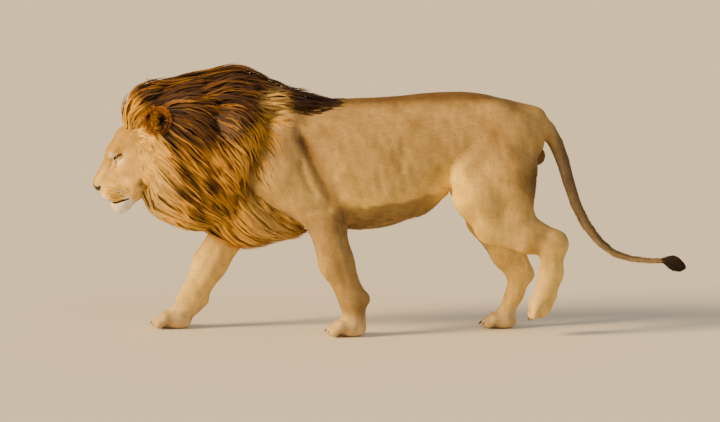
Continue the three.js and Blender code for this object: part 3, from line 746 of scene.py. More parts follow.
net, quads = surface_net(skin_field, (-1080, -240, -24), (1544, 240, 1120), CELL)
skin_mesh = mesh_of("skin", settle(skin_field, net, 2, CELL * 0.5), quads)
for rule, cell in ((for_head_and_feet, 6.0), (for_face, 3.0), (for_features, 1.5)):
    refine(skin_mesh, skin_field, rule, cell)
    print(f"skin at {cell} mm: {triangles_in(skin_mesh)} triangles")

# %% [markdown]
# ## Ears
#
# A lion's ear is a round cup that opens forward and outward. It is thinner than the cells of the
# body's net, so it is drawn as a field of its own, a bowl inside a bowl, with 5 mm cells. One ear is
# made and mirrored; the mirror image's faces are turned round so that they still point outwards.

# %% The ear's cup
EAR_CENTRE = np.array([-720.0, 137.0, 926.0])
EAR_OPENING = unit(np.array([-0.56, 0.8, 0.22]))
EAR_RADIUS, EAR_LIP = 58.0, 13.0  # radius of the rim, and how far the rim is out from the centre
EAR_WALL = 6.5


def ear_axes(points):
    """How far out of the ear's mouth points are, and how far from its axis."""
    away = np.stack([points[:, 0], np.abs(points[:, 1]), points[:, 2]], 1) - EAR_CENTRE
    out = away @ EAR_OPENING
    return out, np.sqrt(np.maximum((away * away).sum(1) - out * out, 0))


def bowl(out, aside, start, radius, depth):
    k0 = np.hypot(aside / radius, (out - start) / depth)
    k1 = np.hypot(aside / radius ** 2, (out - start) / depth ** 2)
    return k0 * (k0 - 1) / np.maximum(k1, 1e-9)


def ear_hollow(out, aside):
    return bowl(out, aside, 16, EAR_RADIUS - EAR_WALL, 40)


def ear_field(points):
    out, aside = ear_axes(points)
    shell = carve(bowl(out, aside, 6, EAR_RADIUS, 43), ear_hollow(out, aside), 3)
    return -blend(-shell, EAR_LIP - out, 5)


print("an ear is", 2 * EAR_RADIUS, "mm across")

# %% Ears, joined to the skin
ear_net, ear_quads = surface_net(ear_field, (-804, 60, 842), (-632, 216, 1010), 5.0)
ear_places = settle(ear_field, ear_net, 2, 2.0)
both_ears = np.concatenate([ear_places, ear_places * (1, -1, 1)])
ear_mesh = mesh_of("ears", both_ears, np.concatenate([ear_quads, ear_quads[:, ::-1] + len(ear_places)]))
bm = bmesh.new()
bm.from_mesh(skin_mesh)
body_vertex_count = len(bm.verts)
bm.from_mesh(ear_mesh)
bmesh.ops.triangulate(bm, faces=[f for f in bm.faces if len(f.verts) > 4])
bm.to_mesh(skin_mesh)
bm.free()
print("skin with ears:", triangles_in(skin_mesh), "triangles")

# %% [markdown]
# ## Where the mane is, and how hair lies
#
# The mane's own field is the outline of its hair: a crown, a crest down the nape to a tongue over the
# withers, a collar, a beard and a breast. The short coat lies along the middle line of each part, back
# over the trunk and down the legs. The mane's lie is set by a few comb marks in side view, each a
# place and an angle below straight back; between the marks the angle is their weighted mean.

# %% The mane's outline
hair = flesh(46, [
    lump((-788, 0, 968), (104, 118, 110), 30),  # crown
    lump((-856, 0, 928), (54, 78, 54)),  # forelock
    *chain([(-715, 0, 985, 118), (-560, 0, 990, 132), (-400, 0, 1008, 150), (-262, 0, 1000, 98)], 0.86),
    lump((-590, 0, 830), (160, 222, 250)),  # collar
    lump((-420, 0, 800), (140, 214, 280), -22),
    lump((-560, 0, 610), (190, 186, 165), 22),  # throat
    limb((-696, 0, 602), 88, (-600, 0, 560), 110, 1.1),  # beard
    lump((-370, 0, 520), (150, 150, 160), -20),  # breast
    limb((-300, 0, 470), 92, (-168, 0, 464), 62, 1.5),
    limb((-745, 0, 705), 94, (-640, 0, 700), 150),  # behind the jaw
])
tongue = flesh(20, chain([(-230, 0, 1010, 70), (-120, 0, 1000, 56), (-22, 0, 988, 40)], 1.9))


def mane_field(points):
    return blend(hair(points), tongue(points), 24)


print("the mane's box in mm:", hair.low.round(), hair.high.round())

# %% Middle lines of the parts
def leg_line(side, *joints):
    return [(x, side * aside, z) for x, aside, z in joints]


def fore_leg_line(side, joints):
    names = ("blade", "shoulder", "elbow", "forearm", "wrist", "foot")
    places = [(joints[n][0], 78 if n == "blade" else STANCE, joints[n][1]) for n in names]
    return leg_line(side, *places, (joints["foot"][0] - 100, STANCE, 24))


MIDDLE = {
    "trunk": [(-780, 0, 850), (-300, 0, 800), (0, 0, 740), (400, 0, 790), (860, 0, 860)],
    "head": from_head(np.array([(160.0, 0, -90), (0, 0, -70), (-240, 0, -40)])),
    "tail": [(x, 0, z) for x, z, _ in TAIL],
    "neck": [(-960, 0, 860), (-600, 0, 860), (-250, 0, 740), (60, 0, 700)],
    "hind_left": leg_line(LEFT, (700, 66, 930), (700, 110, 640), (730, 124, 470), (960, 118, 400),
                          (930, 118, 200), (870, 118, 90)),
    "hind_right": leg_line(RIGHT, (700, 66, 930), (700, 110, 640), (690, 122, 460), (824, 116, 230),
                           (780, 116, 60), (680, 116, 20)),
    "fore_left": fore_leg_line(LEFT, FORE_LEFT),
    "fore_right": fore_leg_line(RIGHT, FORE_RIGHT),
}
for side, word in SIDES:
    MIDDLE[f"ear_{word}"] = [(EAR_CENTRE + out * EAR_OPENING) * (1, side, 1) for out in (-45, 40)]
FIELD = {"trunk": trunk, "head": head, "tail": tail, **LEGS}


def along_middle(points, part):
    """The lie of a part's middle line near points, the place along it, and the turn round it, 0 to 1."""
    line = np.array(MIDDLE[part], float)
    length = np.linalg.norm(np.diff(line, axis=0), axis=1)
    start = np.concatenate([[0], np.cumsum(length)])
    best = np.full(len(points), 1e9)
    place, turn = np.zeros(len(points)), np.zeros(len(points))
    lie, weight = np.zeros((len(points), 3)), np.zeros((len(points), 1))
    for i, (a, b) in enumerate(zip(line, line[1:])):
        tangent = (b - a) / length[i]
        t = np.clip((points - a) @ tangent / length[i], 0, 1)
        away = points - a - (t * length[i])[:, None] * tangent
        far = np.linalg.norm(away, axis=1)
        share = np.exp(-far / 25)[:, None]
        lie += share * tangent
        weight += share
        nearer = far < best
        best[nearer] = far[nearer]
        place[nearer] = (start[i] + t * length[i])[nearer]
        first = unit(np.array([0, 1, 0]) - tangent[1] * tangent)
        second = np.cross(tangent, first)
        angle = np.arctan2(away @ second, away @ first) / (2 * math.pi) + 0.5
        turn[nearer] = angle[nearer]
    return unit(lie / weight), place / start[-1], turn


print("parts with a middle line:", ", ".join(MIDDLE))

# %% The lie of the short coat
def flat_on(direction, normal):
    return unit(direction - (direction * normal).sum(-1, keepdims=True) * normal)


def coat_lie(points, normals):
    """Which part each point is on, and which way the short coat lies there."""
    names = list(FIELD)
    near = np.stack([worked_out(FIELD[n], points) for n in names], 1)
    share = np.exp(-np.maximum(near - near.min(1, keepdims=True), 0) / 18)
    lie = np.zeros((len(points), 3))
    for i, name in enumerate(names):
        own, _, _ = along_middle(points, name)
        if name == "trunk":
            drop = smooth(0.1, 0.9, np.abs(normals[:, 1])) * 0.3
            own = unit(np.stack([np.ones(len(points)), np.zeros(len(points)), -drop], 1))
        if name == "head":
            h = in_head(points)
            fan = np.sign(h[:, 1]) * smooth(4, 60, np.abs(h[:, 1])) * 0.45
            own = own + np.array([0, 1, 0]) * fan[:, None]
            own = own - UP * (0.5 * smooth(-20, -110, h[:, 2]))[:, None]
        lie += share[:, i:i + 1] * own
    return np.array(names)[near.argmin(1)], flat_on(lie, normals)


sample = np.array([[300.0, -174.0, 740.0]])
print("on the flank the coat lies along", coat_lie(sample, np.array([[0.0, -1.0, 0.0]]))[1].round(2))

# %% Comb marks of the mane
# x, z and the angle in degrees below straight back; a negative angle sweeps upwards
COMB = [
    (-905, 890, -75), (-860, 985, -38), (-790, 1060, -8), (-700, 1070, 6), (-560, 1090, 0), (-430, 1120, 4),
    (-300, 1080, 22), (-180, 1030, 8), (-40, 1000, 8), (-820, 760, 62), (-770, 860, 58), (-730, 760, 54),
    (-760, 640, 50), (-690, 540, 34), (-660, 900, 30), (-600, 760, 47), (-560, 640, 44), (-540, 520, 30),
    (-480, 900, 38), (-440, 760, 56), (-420, 620, 50), (-340, 860, 52), (-300, 700, 58), (-310, 560, 46),
    (-260, 450, 28), (-150, 470, 24), (-400, 430, 26),
]


def mane_lie(points, outward):
    """The mane's direction in space; on the side that faces forward it spreads away from the face."""
    marks = np.array(COMB, float)
    gap = points[:, None, [0, 2]] - marks[None, :, :2]
    share = np.exp(-(gap ** 2).sum(2) / (2 * 62.0 ** 2)) + 1e-9
    turn = np.radians(marks[:, 2])
    back, down = share @ np.cos(turn), share @ np.sin(turn)
    way = unit(np.stack([back, np.zeros(len(points)), -down], 1))
    spread = unit(np.stack([np.zeros(len(points)), points[:, 1], points[:, 2] - 780], 1))
    facing = np.maximum(0, -outward[:, :1])
    return unit(way + 1.1 * facing * spread)


print(len(COMB), "comb marks")

# %% [markdown]
# ## Colours
#
# One function gives the coat's colour at any place on the animal, and the skin and every tuft take
# theirs from it, so the markings agree. A lion is tawny: greyer on the shoulder, yellower on the legs
# and in the groin, darker along the back and under the belly, with a white chin and pale marks round
# the eyes. The groin's yellow is partly a painted highlight and the dark under the belly partly painted
# shade. Painted shade also darkens the fold behind the shoulder, the near foreleg and hock, the backs
# of the thighs, the tail's upper side, the cups of the ears, the jaw's corner, the mane's gaps and
# parting and the roots of the hair, and painted light pales the tail's lower side and the lower throat.
# The mane is gold round the face and throat and nearly black from the crown to the withers.

# %% Palette and a smooth random field
def linear(code):
    """A colour written as sRGB hex, in the linear values that shaders work in."""
    s = np.array([int(code[i:i + 2], 16) for i in (1, 3, 5)]) / 255
    return np.where(s <= 0.04045, s / 12.92, ((s + 0.055) / 1.055) ** 2.4)


TAWNY, GREY_TAN_AND_SHADE, BACK_BROWN_AND_SHADE = linear("#b59153"), linear("#98794a"), linear("#5f3d14")
LEG_GOLD, GROIN_GOLD_AND_LIGHT, BELLY, PAW = (linear(c) for c in ("#e2bc6a", "#f8cc5e", "#b48a48", "#d0b078"))
FOREHEAD, NOSE_TAN, CHEEK, EYE_PALE = (linear(c) for c in ("#ac8232", "#b58a2e", "#e2b662", "#f2deb0"))
WHISKER_PAD, LIP_CREAM, CHIN_WHITE = linear("#eebc4c"), linear("#ecdcb8"), linear("#f6efe0")
TAIL_GREY, TAIL_PAINTED_LIGHT, TAIL_PAINTED_SHADE = linear("#86704e"), linear("#b29c76"), linear("#4c3c28")
LIP_BLACK, SMUDGE_AND_SHADE, EAR_RIM, EAR_BLACK_AND_SHADE = (linear(c) for c in ("#1c110b", "#4c331d", "#b06a22", "#170f0a"))
CROWN_GOLD, MANE_GOLD, RUFF_GOLD_AND_LIGHT = linear("#d89810"), linear("#bd841c"), linear("#f4be46")
MANE_BROWN_AND_SHADE, MANE_DARK_AND_SHADE, MANE_PALE = linear("#6e440e"), linear("#3d2509"), linear("#b8924c")
UNDER_BROWN_AND_SHADE, MANE_ROOT_AND_SHADE, TUFT_BLACK = linear("#4a3212"), linear("#1e1206"), linear("#0b0704")
SHADE_BLACK = linear("#000000")


def ripple(points, size, seed, waves=7):
    """A smooth random field from -1 to 1, whose lumps are about this size in mm."""
    rng = np.random.default_rng(seed)
    ways = unit(rng.normal(size=(waves, 3))) * rng.uniform(0.6, 1.5, (waves, 1)) * 2 * math.pi / (2 * size)
    return np.sin(points @ ways.T + rng.uniform(0, 6.28, waves)).sum(1) / math.sqrt(waves) / 1.3


def spot(a, b, place, size):
    """1 at a place in a flat view, fading to 0 at about twice the size."""
    return np.exp(-((a - place[0]) ** 2 + (b - place[1]) ** 2) / size ** 2)


def painted(base, count, layers):
    """A base colour for so many points, with layers of (colour, amount) laid over it in turn."""
    colour = np.broadcast_to(base, (count, 3))
    for other, amount in layers:
        colour = colour + (other - colour) * np.clip(amount, 0, 1)[:, None]
    return colour


print("the tawny coat in linear values:", TAWNY.round(3))

# %% Colour of the belly and behind the shoulder, much of it painted shade
# upper edge of the painted shade under the belly, in x and z
BELLY_EDGE = [(71, 548), (224, 566), (376, 596), (486, 616)]  # x, z
# side, how dark the fold's painted shade is, the elbow, shaded as well, and the fold's line in x and z
SHOULDER_FOLDS = [
    (LEFT, 0.85, (62, 520), [(-118, 850), (-60, 740), (-8, 640), (40, 540)]),
    (RIGHT, 0.4, (-170, 560), [(-128, 850), (-130, 760), (-145, 660), (-180, 580)]),
]


def belly_layers(points):
    """A gold edge, part fur and part painted highlight, and under it darker fur and painted shade."""
    x, _, z = points.T
    on_trunk = smooth(-40, 60, x) * smooth(560, 500, x)
    edge = np.interp(x, *np.array(BELLY_EDGE, float).T) + 8 * ripple(points, 40, 12)
    under = smooth(7, -12, z - edge) * on_trunk
    gold = 0.4 * smooth(80, 8, z - edge) * on_trunk
    # over the edge the gold is partly a painted highlight; under it darker fur, then painted shade
    return [(GROIN_GOLD_AND_LIGHT, gold), (BELLY, under), (UNDER_BROWN_AND_SHADE, 0.9 * under), (SHADE_BLACK, 0.48 * under)]


def fold_layers(points):
    x, y, z = points.T
    layers = []
    for side, darkness, elbow, line in SHOULDER_FOLDS:
        own = y * side > 0
        away, _ = line_distance(points[:, [0, 2]], line)
        # painted shade along the fold behind the shoulder, and round the elbow over its dark hair
        layers.append((BACK_BROWN_AND_SHADE, darkness * smooth(36, 6, away) * smooth(50, 90, np.abs(y)) * own))
        layers.append((BACK_BROWN_AND_SHADE, 0.7 * smooth(0.2, 0.8, spot(x, z, elbow, 62)) * own))
    return layers


print("belly and folds:", len(BELLY_EDGE), "and", len(SHOULDER_FOLDS), "lines")

# %% Colour of the legs, back and tail
def leg_layers(points):
    x, y, z = points.T
    # painted shade: the near foreleg's upper part is less gold and greyer, and the hock is greyer
    shaded_left_foreleg = (y < 0) * smooth(420, 300, x)
    # gold on the front of the thigh and in the groin: part fur, part painted highlight
    gold = spot(x, z, (516, 672), 74) + spot(x, z, (540, 600), 62) + 0.8 * spot(x, z, (600, 470), 80)
    return [
        (LEG_GOLD, smooth(520, 300, z) * (0.9 - 0.75 * shaded_left_foreleg) + 0.35 * smooth(840, 620, z)),
        (GREY_TAN_AND_SHADE, 0.6 * shaded_left_foreleg * smooth(560, 500, z) + 0.7 * spot(x, z, (930, 430), 90)),
        (GROIN_GOLD_AND_LIGHT, gold),
        (PAW, smooth(130, 50, z)),
    ]


def back_layers(points):
    x, y, z = points.T
    aside = np.abs(y)
    ridge = smooth(940, 1020, z + 0.25 * (60 - aside)) * smooth(125, 40, aside) * smooth(900, 760, x)
    return [
        (BACK_BROWN_AND_SHADE, 0.9 * ridge),
        # painted shade behind the thighs, over browner fur
        (UNDER_BROWN_AND_SHADE, 0.85 * smooth(0.05, 0.8, spot(x, z, (940, 670), 130))),  # behind the thighs
        (BACK_BROWN_AND_SHADE, 0.85 * spot(x, z, (905, 775), 42) * smooth(70, 40, aside)),  # scrotum
    ]


def tail_layers(points):
    """Grey, with painted shade above and painted light below; above means behind, where the tail hangs."""
    x, _, z = points.T
    on_tail = smooth(930, 1010, x) * ((x > 1040) | (z > 480))
    line_x, line_z, _ = np.array(TAIL, float).T
    above = np.where(x > 1130, (z - np.interp(x, line_x, line_z)) / 16,
                     (x - np.interp(z, line_z[::-1], line_x[::-1])) / 24)
    return [
        (TAIL_GREY, 0.85 * on_tail),
        (TAIL_PAINTED_LIGHT, 0.8 * on_tail * smooth(0.1, -0.7, above)),
        (TAIL_PAINTED_SHADE, 0.75 * on_tail * smooth(0.0, 0.8, above)),
    ]


def coat_colour(points):
    x, _, z = points.T
    colour = painted(TAWNY, len(points), [
        (GREY_TAN_AND_SHADE, 0.75 * spot(x, z, (-190, 760), 190) + 0.3 * spot(x, z, (700, 760), 160)),
        *belly_layers(points), *fold_layers(points), *leg_layers(points), *back_layers(points),
        *tail_layers(points),
        # painted shade behind the left elbow, over its dark hair
        (BACK_BROWN_AND_SHADE, 0.4 * spot(x, z, (43, 516), 60)),  # behind the left elbow
        (BACK_BROWN_AND_SHADE, 0.22 * ripple(points, 60, 5) + 0.06),
    ])
    grain = 0.08 * ripple(points, 24, 3) + 0.05 * ripple(points, 9, 4)
    grain += 0.07 * ripple(points * (1, 1, 0.22), 9, 6)
    return colour * (1 + grain)[:, None]


print("the middle of the flank in linear values:", coat_colour(np.array([[300.0, -174.0, 740.0]])).round(3))

# %% Colour of the face and the ears
def face_colour(points):
    h = mirrored(in_head(points))
    a, aside, b = h.T
    bridge = smooth(34, 16, aside) * smooth(10, 60, a)
    colour = painted(CHEEK, len(points), [
        (FOREHEAD, smooth(-20, 20, b) * 0.9),
        (FOREHEAD, 0.5 * spot(a, b, (-60, -40), 50) + 0.5 * spot(a, b, (44, -46), 26)),
        (NOSE_TAN, 0.9 * bridge * smooth(-80, -50, b)),
        (NOSE_TAN, 0.6 * spot(a, b, (86, -52), 26)),
        (WHISKER_PAD, smooth(-66, -86, b) * smooth(20, 60, a)),
        (LIP_CREAM, smooth(118, 136, a - 0.2 * (b + 110)) * smooth(-80, -96, b) * 0.9),
        (CHIN_WHITE, smooth(-152, -166, b + 0.12 * (a - 60)) * smooth(30, 70, a)),
        (EYE_PALE, 0.95 * spot(a, b, (8, 20), 15) * smooth(20, 34, aside)),
        (EYE_PALE, 0.9 * spot(a, b, (19, -12), 10) * smooth(20, 34, aside)),
        (EYE_PALE, 0.9 * spot(a, b, (-10, -15), 13) * smooth(30, 44, aside)),
        # dark marks behind the mouth's corner, part fur and part painted shade in its crease; the spot low
        # under the jaw is a painted shadow where the ruff meets it
        (SMUDGE_AND_SHADE, 0.75 * spot(a, b, (-40, -134), 13) + 0.35 * spot(a, b, (60, -74), 9)),
        (SMUDGE_AND_SHADE, 0.9 * spot(a, b, (-14, -192), 16) + 0.8 * spot(a, b, (-26, -148), 17)),
        *((SMUDGE_AND_SHADE, spot(a, b, place, 3.2) * smooth(6, 14, aside)) for place in WHISKER_SPOTS),
    ])
    colour = colour * (1 + 0.10 * ripple(points, 14, 8) + 0.06 * ripple(points, 5, 9))[:, None]
    mouth, back = line_distance(h[:, [0, 2]], MOUTH)
    tear, down = line_distance(h[:, [0, 2]], TEAR)
    lid_edge = smooth(5.2, 1.8, almond(h)) * (np.linalg.norm(h - EYE, axis=1) < EYE_RADIUS + 9)
    return painted(colour, len(points), [
        (LIP_BLACK, smooth(5.5, 2.5, mouth) * smooth(0, 0.1, back)),
        (LIP_BLACK, smooth(4, 1.5, tear) * 0.8 * (1 - down) * smooth(30, 40, aside)),
        (LIP_BLACK, lid_edge),
    ])


def ear_colour(points):
    out, aside = ear_axes(points)
    inside = smooth(0, 5, 5 - ear_hollow(out, aside))
    hole = spot(points[:, 0], points[:, 2], (EAR_CENTRE[0] + 6, EAR_CENTRE[2] - 16), 34)
    return painted(EAR_RIM, len(points), [
        (EAR_BLACK_AND_SHADE, smooth(8, -8, out) * (1 - inside) * 0.9),  # the black back of the ear
        # painted shade deep in the ear's cup and in its hole
        (SMUDGE_AND_SHADE, 0.6 * inside * smooth(EAR_LIP - 2, -4, out)),
        (EAR_BLACK_AND_SHADE, inside * smooth(0.2, 0.7, hole)),
    ])


print("between the eyes:", face_colour(from_head(np.array([[10.0, 0.0, 30.0]]))).round(3))

# %% Colour of the mane
# x, z: over this line the mane is dark
DARK_EDGE = [(-920, 1075), (-840, 1030), (-770, 950), (-700, 870), (-620, 830), (-520, 800), (-440, 800),
             (-380, 850), (-300, 930), (-230, 1000), (-165, 925), (60, 880)]


def mane_colour(points, streak):
    """The mane's colour; streak, from 0 to 1, is each lock's own share of another shade."""
    x, _, z = points.T
    edge = np.interp(x, *np.array(DARK_EDGE, float).T)
    dark = smooth(-45, 45, z - edge + 34 * ripple(points, 70, 11) + 40 * (streak - 0.5))
    # painted shade in the gaps between the locks of the collar
    gap_shade = smooth(0.0, 0.3, ripple(points * (1, 0.5, 0.6), 34, 13))
    gap_shade *= smooth(0.1, 0.5, spot(x, z, (-510, 640), 150))
    gold = painted(MANE_GOLD, len(points), [
        (CROWN_GOLD, smooth(-740, -820, x) * smooth(900, 940, z)),
        (RUFF_GOLD_AND_LIGHT, smooth(-640, -760, x) * smooth(950, 890, z) + 0.3 * smooth(0.7, 1, streak)),
        # painted shadow of the jaw on the front edge of the ruff
        (MANE_BROWN_AND_SHADE, 0.8 * spot(x, z, (-796, 566), 34)),
        # painted light on the lower throat, which faces down
        (RUFF_GOLD_AND_LIGHT, 0.5 * smooth(560, 480, z) * smooth(-430, -500, x)),
        (MANE_PALE, 0.7 * smooth(-420, -280, x) * smooth(900, 700, z)),
        (MANE_BROWN_AND_SHADE, 0.45 * smooth(0.3, 0.05, streak) * smooth(-780, -640, x)),
        (MANE_DARK_AND_SHADE, 0.85 * gap_shade),
    ])
    shade = painted(MANE_DARK_AND_SHADE, len(points), [
        (MANE_BROWN_AND_SHADE, 0.7 * smooth(0.35, 0.8, streak)),
        (MANE_GOLD, 0.45 * smooth(0.86, 0.98, streak) * smooth(-120, -260, x)),
        (TUFT_BLACK, 0.4 * smooth(-230, -110, x)),
    ])
    before_tongue = 0.85 * smooth(0.15, 0.7, spot(x, z, (-228, 1000), 66))
    return painted(gold, len(points), [(shade, dark), (MANE_PALE, before_tongue)])


print("the collar:", mane_colour(np.array([[-500.0, -200.0, 700.0]]), np.array([0.5])).round(3))

# %% [markdown]
# ## Materials
#
# Hair is a clear tube of keratin over a coloured core, so it has a soft shine along its length and a
# glow at the edge of the body, which sheen gives. The colour comes from the attribute "coat". Hair is
# 0.05 to 0.1 mm thick and would never show, so its grain is drawn as coarse as small locks, about
# 2 mm across. Wet skin, horn and the eye get their gloss from the shader.

# %% One function for all nodes
KERATIN_IOR = 1.55


def add(tree, kind, settings=(), links=()):
    """Adds a node. Settings are (name or socket, value); links are (socket, source node, its socket)."""
    node = tree.nodes.new(kind)
    for key, value in settings:
        if isinstance(key, str) and hasattr(node, key):
            setattr(node, key, value)
        else:
            node.inputs[key].default_value = value
    for socket, source, output in links:
        tree.links.new(source.outputs[output], node.inputs[socket])
    return node


def new_material(name):
    """An empty material, with its nodes cleared."""
    material = bpy.data.materials.new(name)
    material.use_nodes = True
    material.node_tree.nodes.clear()
    return material, material.node_tree


def span(low, high, start, end):
    """Settings of a Map Range node: low becomes start and high becomes end."""
    return [("From Min", low), ("From Max", high), ("To Min", start), ("To Max", end)]


def finish(tree, source, shade, relief, settings, links=()):
    """The end of every material: a colour times a shade, the shader and the output."""
    tone = add(tree, "ShaderNodeVectorMath", [("operation", "SCALE")], [(0, source, 0), ("Scale", shade, 0)])
    surface = add(tree, "ShaderNodeBsdfPrincipled", settings,
                  [("Base Color", tone, 0), ("Normal", relief, 0), *links])
    add(tree, "ShaderNodeOutputMaterial", (), [("Surface", surface, 0)])


print("keratin's index of refraction:", KERATIN_IOR)

# %% Hair and skin
FUR = [("IOR", KERATIN_IOR), ("Specular IOR Level", 0.2), ("Sheen Tint", (1.0, 0.82, 0.5, 1.0))]


def hair_material(name, grain, streaks, roughness, sheen, bump):
    """Hair in locks. Grain is the size of the blotches in mm, streaks how many hairs show across a tuft."""
    material, tree = new_material(name)
    colour = add(tree, "ShaderNodeAttribute", [("attribute_name", "coat")])
    place = add(tree, "ShaderNodeTexCoord")
    blotch = add(tree, "ShaderNodeTexNoise", [("Scale", 1 / (grain * MM)), ("Detail", 3.0)],
                 [("Vector", place, "Object")])
    blotches = add(tree, "ShaderNodeMapRange", span(0.3, 0.7, 0.86, 1.14), [("Value", blotch, 0)])
    strand = add(tree, "ShaderNodeUVMap", [("uv_map", "strand")])
    stretched = add(tree, "ShaderNodeVectorMath", [("operation", "MULTIPLY"), (1, (streaks, 1.2, 1.0))],
                    [(0, strand, 0)])
    moved = add(tree, "ShaderNodeVectorMath", [("operation", "MULTIPLY_ADD"), (1, (9.0, 9.0, 9.0))],
                [(0, place, "Object"), (2, stretched, 0)])
    hairs = add(tree, "ShaderNodeTexNoise", [("Scale", 1.0), ("Detail", 2.0)], [("Vector", moved, 0)])
    lines = add(tree, "ShaderNodeMapRange", span(0.32, 0.68, 0.72, 1.22), [("Value", hairs, 0)])
    shade = add(tree, "ShaderNodeMath", [("operation", "MULTIPLY")], [(0, blotches, 0), (1, lines, 0)])
    relief = add(tree, "ShaderNodeBump", [("Strength", bump), ("Distance", 0.8 * MM)], [("Height", hairs, 0)])
    finish(tree, colour, shade, relief,
           [*FUR, ("Roughness", roughness), ("Sheen Weight", sheen), ("Sheen Roughness", 0.45)])
    return material


def skin_material():
    """Hide under short fur: matt where hair covers it, moist where "bare" says so."""
    material, tree = new_material("hide under short fur")
    colour = add(tree, "ShaderNodeAttribute", [("attribute_name", "coat")])
    bare = add(tree, "ShaderNodeAttribute", [("attribute_name", "bare")])
    place = add(tree, "ShaderNodeTexCoord")
    # single hairs would not show, so the grain is that of small locks, 2.5 mm across
    grain = add(tree, "ShaderNodeTexNoise", [("Scale", 1 / (2.5 * MM)), ("Detail", 4.0)],
                [("Vector", place, "Object")])
    shade = add(tree, "ShaderNodeMapRange", span(0.3, 0.7, 0.8, 1.16), [("Value", grain, 0)])
    relief = add(tree, "ShaderNodeBump", [("Strength", 0.5), ("Distance", 0.7 * MM)], [("Height", grain, 0)])
    rough = add(tree, "ShaderNodeMapRange", span(0.0, 1.0, 0.72, 0.34), [("Value", bare, "Fac")])
    finish(tree, colour, shade, relief, [*FUR, ("Sheen Weight", 0.1), ("Sheen Roughness", 0.5)],
           [("Roughness", rough, 0)])
    return material


hide = skin_material()
guard_hair = hair_material("short guard hair", 9.0, 3.0, 0.65, 0.12, 0.25)
mane_hair = hair_material("long mane hair", 30.0, 8.0, 0.58, 0.0, 0.6)
tuft_hair = hair_material("coarse tail tuft hair", 20.0, 4.0, 0.55, 0.1, 0.4)
print("hair materials:", [m.name for m in (hide, guard_hair, mane_hair, tuft_hair)])

# %% Nose leather, horn, whiskers and the eye
def plain_material(name, roughness, coat, ior, grain, bump, code=None):
    """A hard or moist surface: a colour, or the attribute "coat", broken up by fine grain in mm."""
    material, tree = new_material(name)
    place = add(tree, "ShaderNodeTexCoord")
    cells = add(tree, "ShaderNodeTexVoronoi", [("Scale", 1 / (grain * MM))], [("Vector", place, "Object")])
    shade = add(tree, "ShaderNodeMapRange", span(0.0, 0.8, 1.15, 0.8), [("Value", cells, "Distance")])
    if code:
        source = add(tree, "ShaderNodeRGB")
        source.outputs[0].default_value = (*linear(code), 1.0)
    else:
        source = add(tree, "ShaderNodeAttribute", [("attribute_name", "coat")])
    relief = add(tree, "ShaderNodeBump", [("Strength", bump), ("Distance", 0.3 * MM), ("invert", True)],
                 [("Height", cells, "Distance")])
    finish(tree, source, shade, relief,
           [("Roughness", roughness), ("IOR", ior), ("Coat Weight", coat), ("Coat Roughness", 0.04)])
    return material


# the nose pad is bare skin in bumps of 0.5 to 1 mm, moist and dark
nose_leather = plain_material("moist nose leather", 0.38, 0.25, 1.45, 1.1, 0.6)
# a claw is layered horn, smooth and slightly clear, so its shine is sharp
claw_horn = plain_material("claw horn", 0.3, 0.15, 1.54, 2.0, 0.1, "#4a3a2a")
# a whisker is one thick white hair
whisker_hair = plain_material("whisker hair", 0.35, 0.0, KERATIN_IOR, 3.0, 0.0, "#efe6d2")
# the cornea is wet and clear: its gloss is the coat, and the iris shows as colour below
wet_eye = plain_material("wet eye", 0.25, 1.0, 1.38, 0.8, 0.02)
print("hard and moist materials:", [m.name for m in (nose_leather, claw_horn, whisker_hair, wet_eye)])

# %% [markdown]
# ## The skin as a piece
#
# Hide can be painted with an image, but an image has seams and a fixed size. Here every corner of the
# skin's mesh carries its own colour in an attribute named "coat", worked out by the functions above,
# and a second attribute, "bare", says where the skin has no hair and is moist: the lips and the rims of
# the lids. The skin replaces all the solids of flesh and the ears, so it shows no seam.

# %% Skin object
FLESH_NODES = [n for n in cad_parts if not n.endswith("_mane")
               and n not in ("eye_left", "eye_right", "nose", "tail_tuft", "collar_left", "collar_right")]


def set_colours(mesh, name, colours):
    layer = mesh.attributes.new(name, "FLOAT_COLOR", "POINT")
    layer.data.foreach_set("color", np.column_stack([colours, np.ones(len(colours))]).ravel())


def set_numbers(mesh, name, numbers):
    mesh.attributes.new(name, "FLOAT", "POINT").data.foreach_set("value", numbers)


def add_object(mesh, material=None):
    piece = bpy.data.objects.new(mesh.name, mesh)
    bpy.context.scene.collection.objects.link(piece)
    if material:
        mesh.materials.append(material)
    return piece


def animal_colour(points):
    """The coat's colour anywhere but on the ears and the mane."""
    h = in_head(points)
    share = smooth(-230, -150, h[:, 0]) * smooth(-690, -760, points[:, 0]) * smooth(470, 520, points[:, 2])
    face = face_colour(points)
    return painted(coat_colour(points), len(points), [(face, share)])


def bareness(points):
    h = mirrored(in_head(points))
    mouth, _ = line_distance(h[:, [0, 2]], MOUTH)
    lip = smooth(4, 2, mouth) * (h[:, 0] > 50)
    lid = smooth(3.5, 1.2, almond(h)) * (np.linalg.norm(h - EYE, axis=1) < EYE_RADIUS + 8)
    return np.maximum(lip, lid) * (points[:, 2] > 450)


skin_places = rows_of(skin_mesh.vertices, "co")
skin_mesh.update()
skin_normals = rows_of(skin_mesh.vertex_normals, "vector")
under_mane = smooth(-4, -26, worked_out(mane_field, skin_places))
on_body = np.arange(len(skin_places)) < body_vertex_count
skin_colours = np.where(on_body[:, None], animal_colour(skin_places), ear_colour(skin_places))
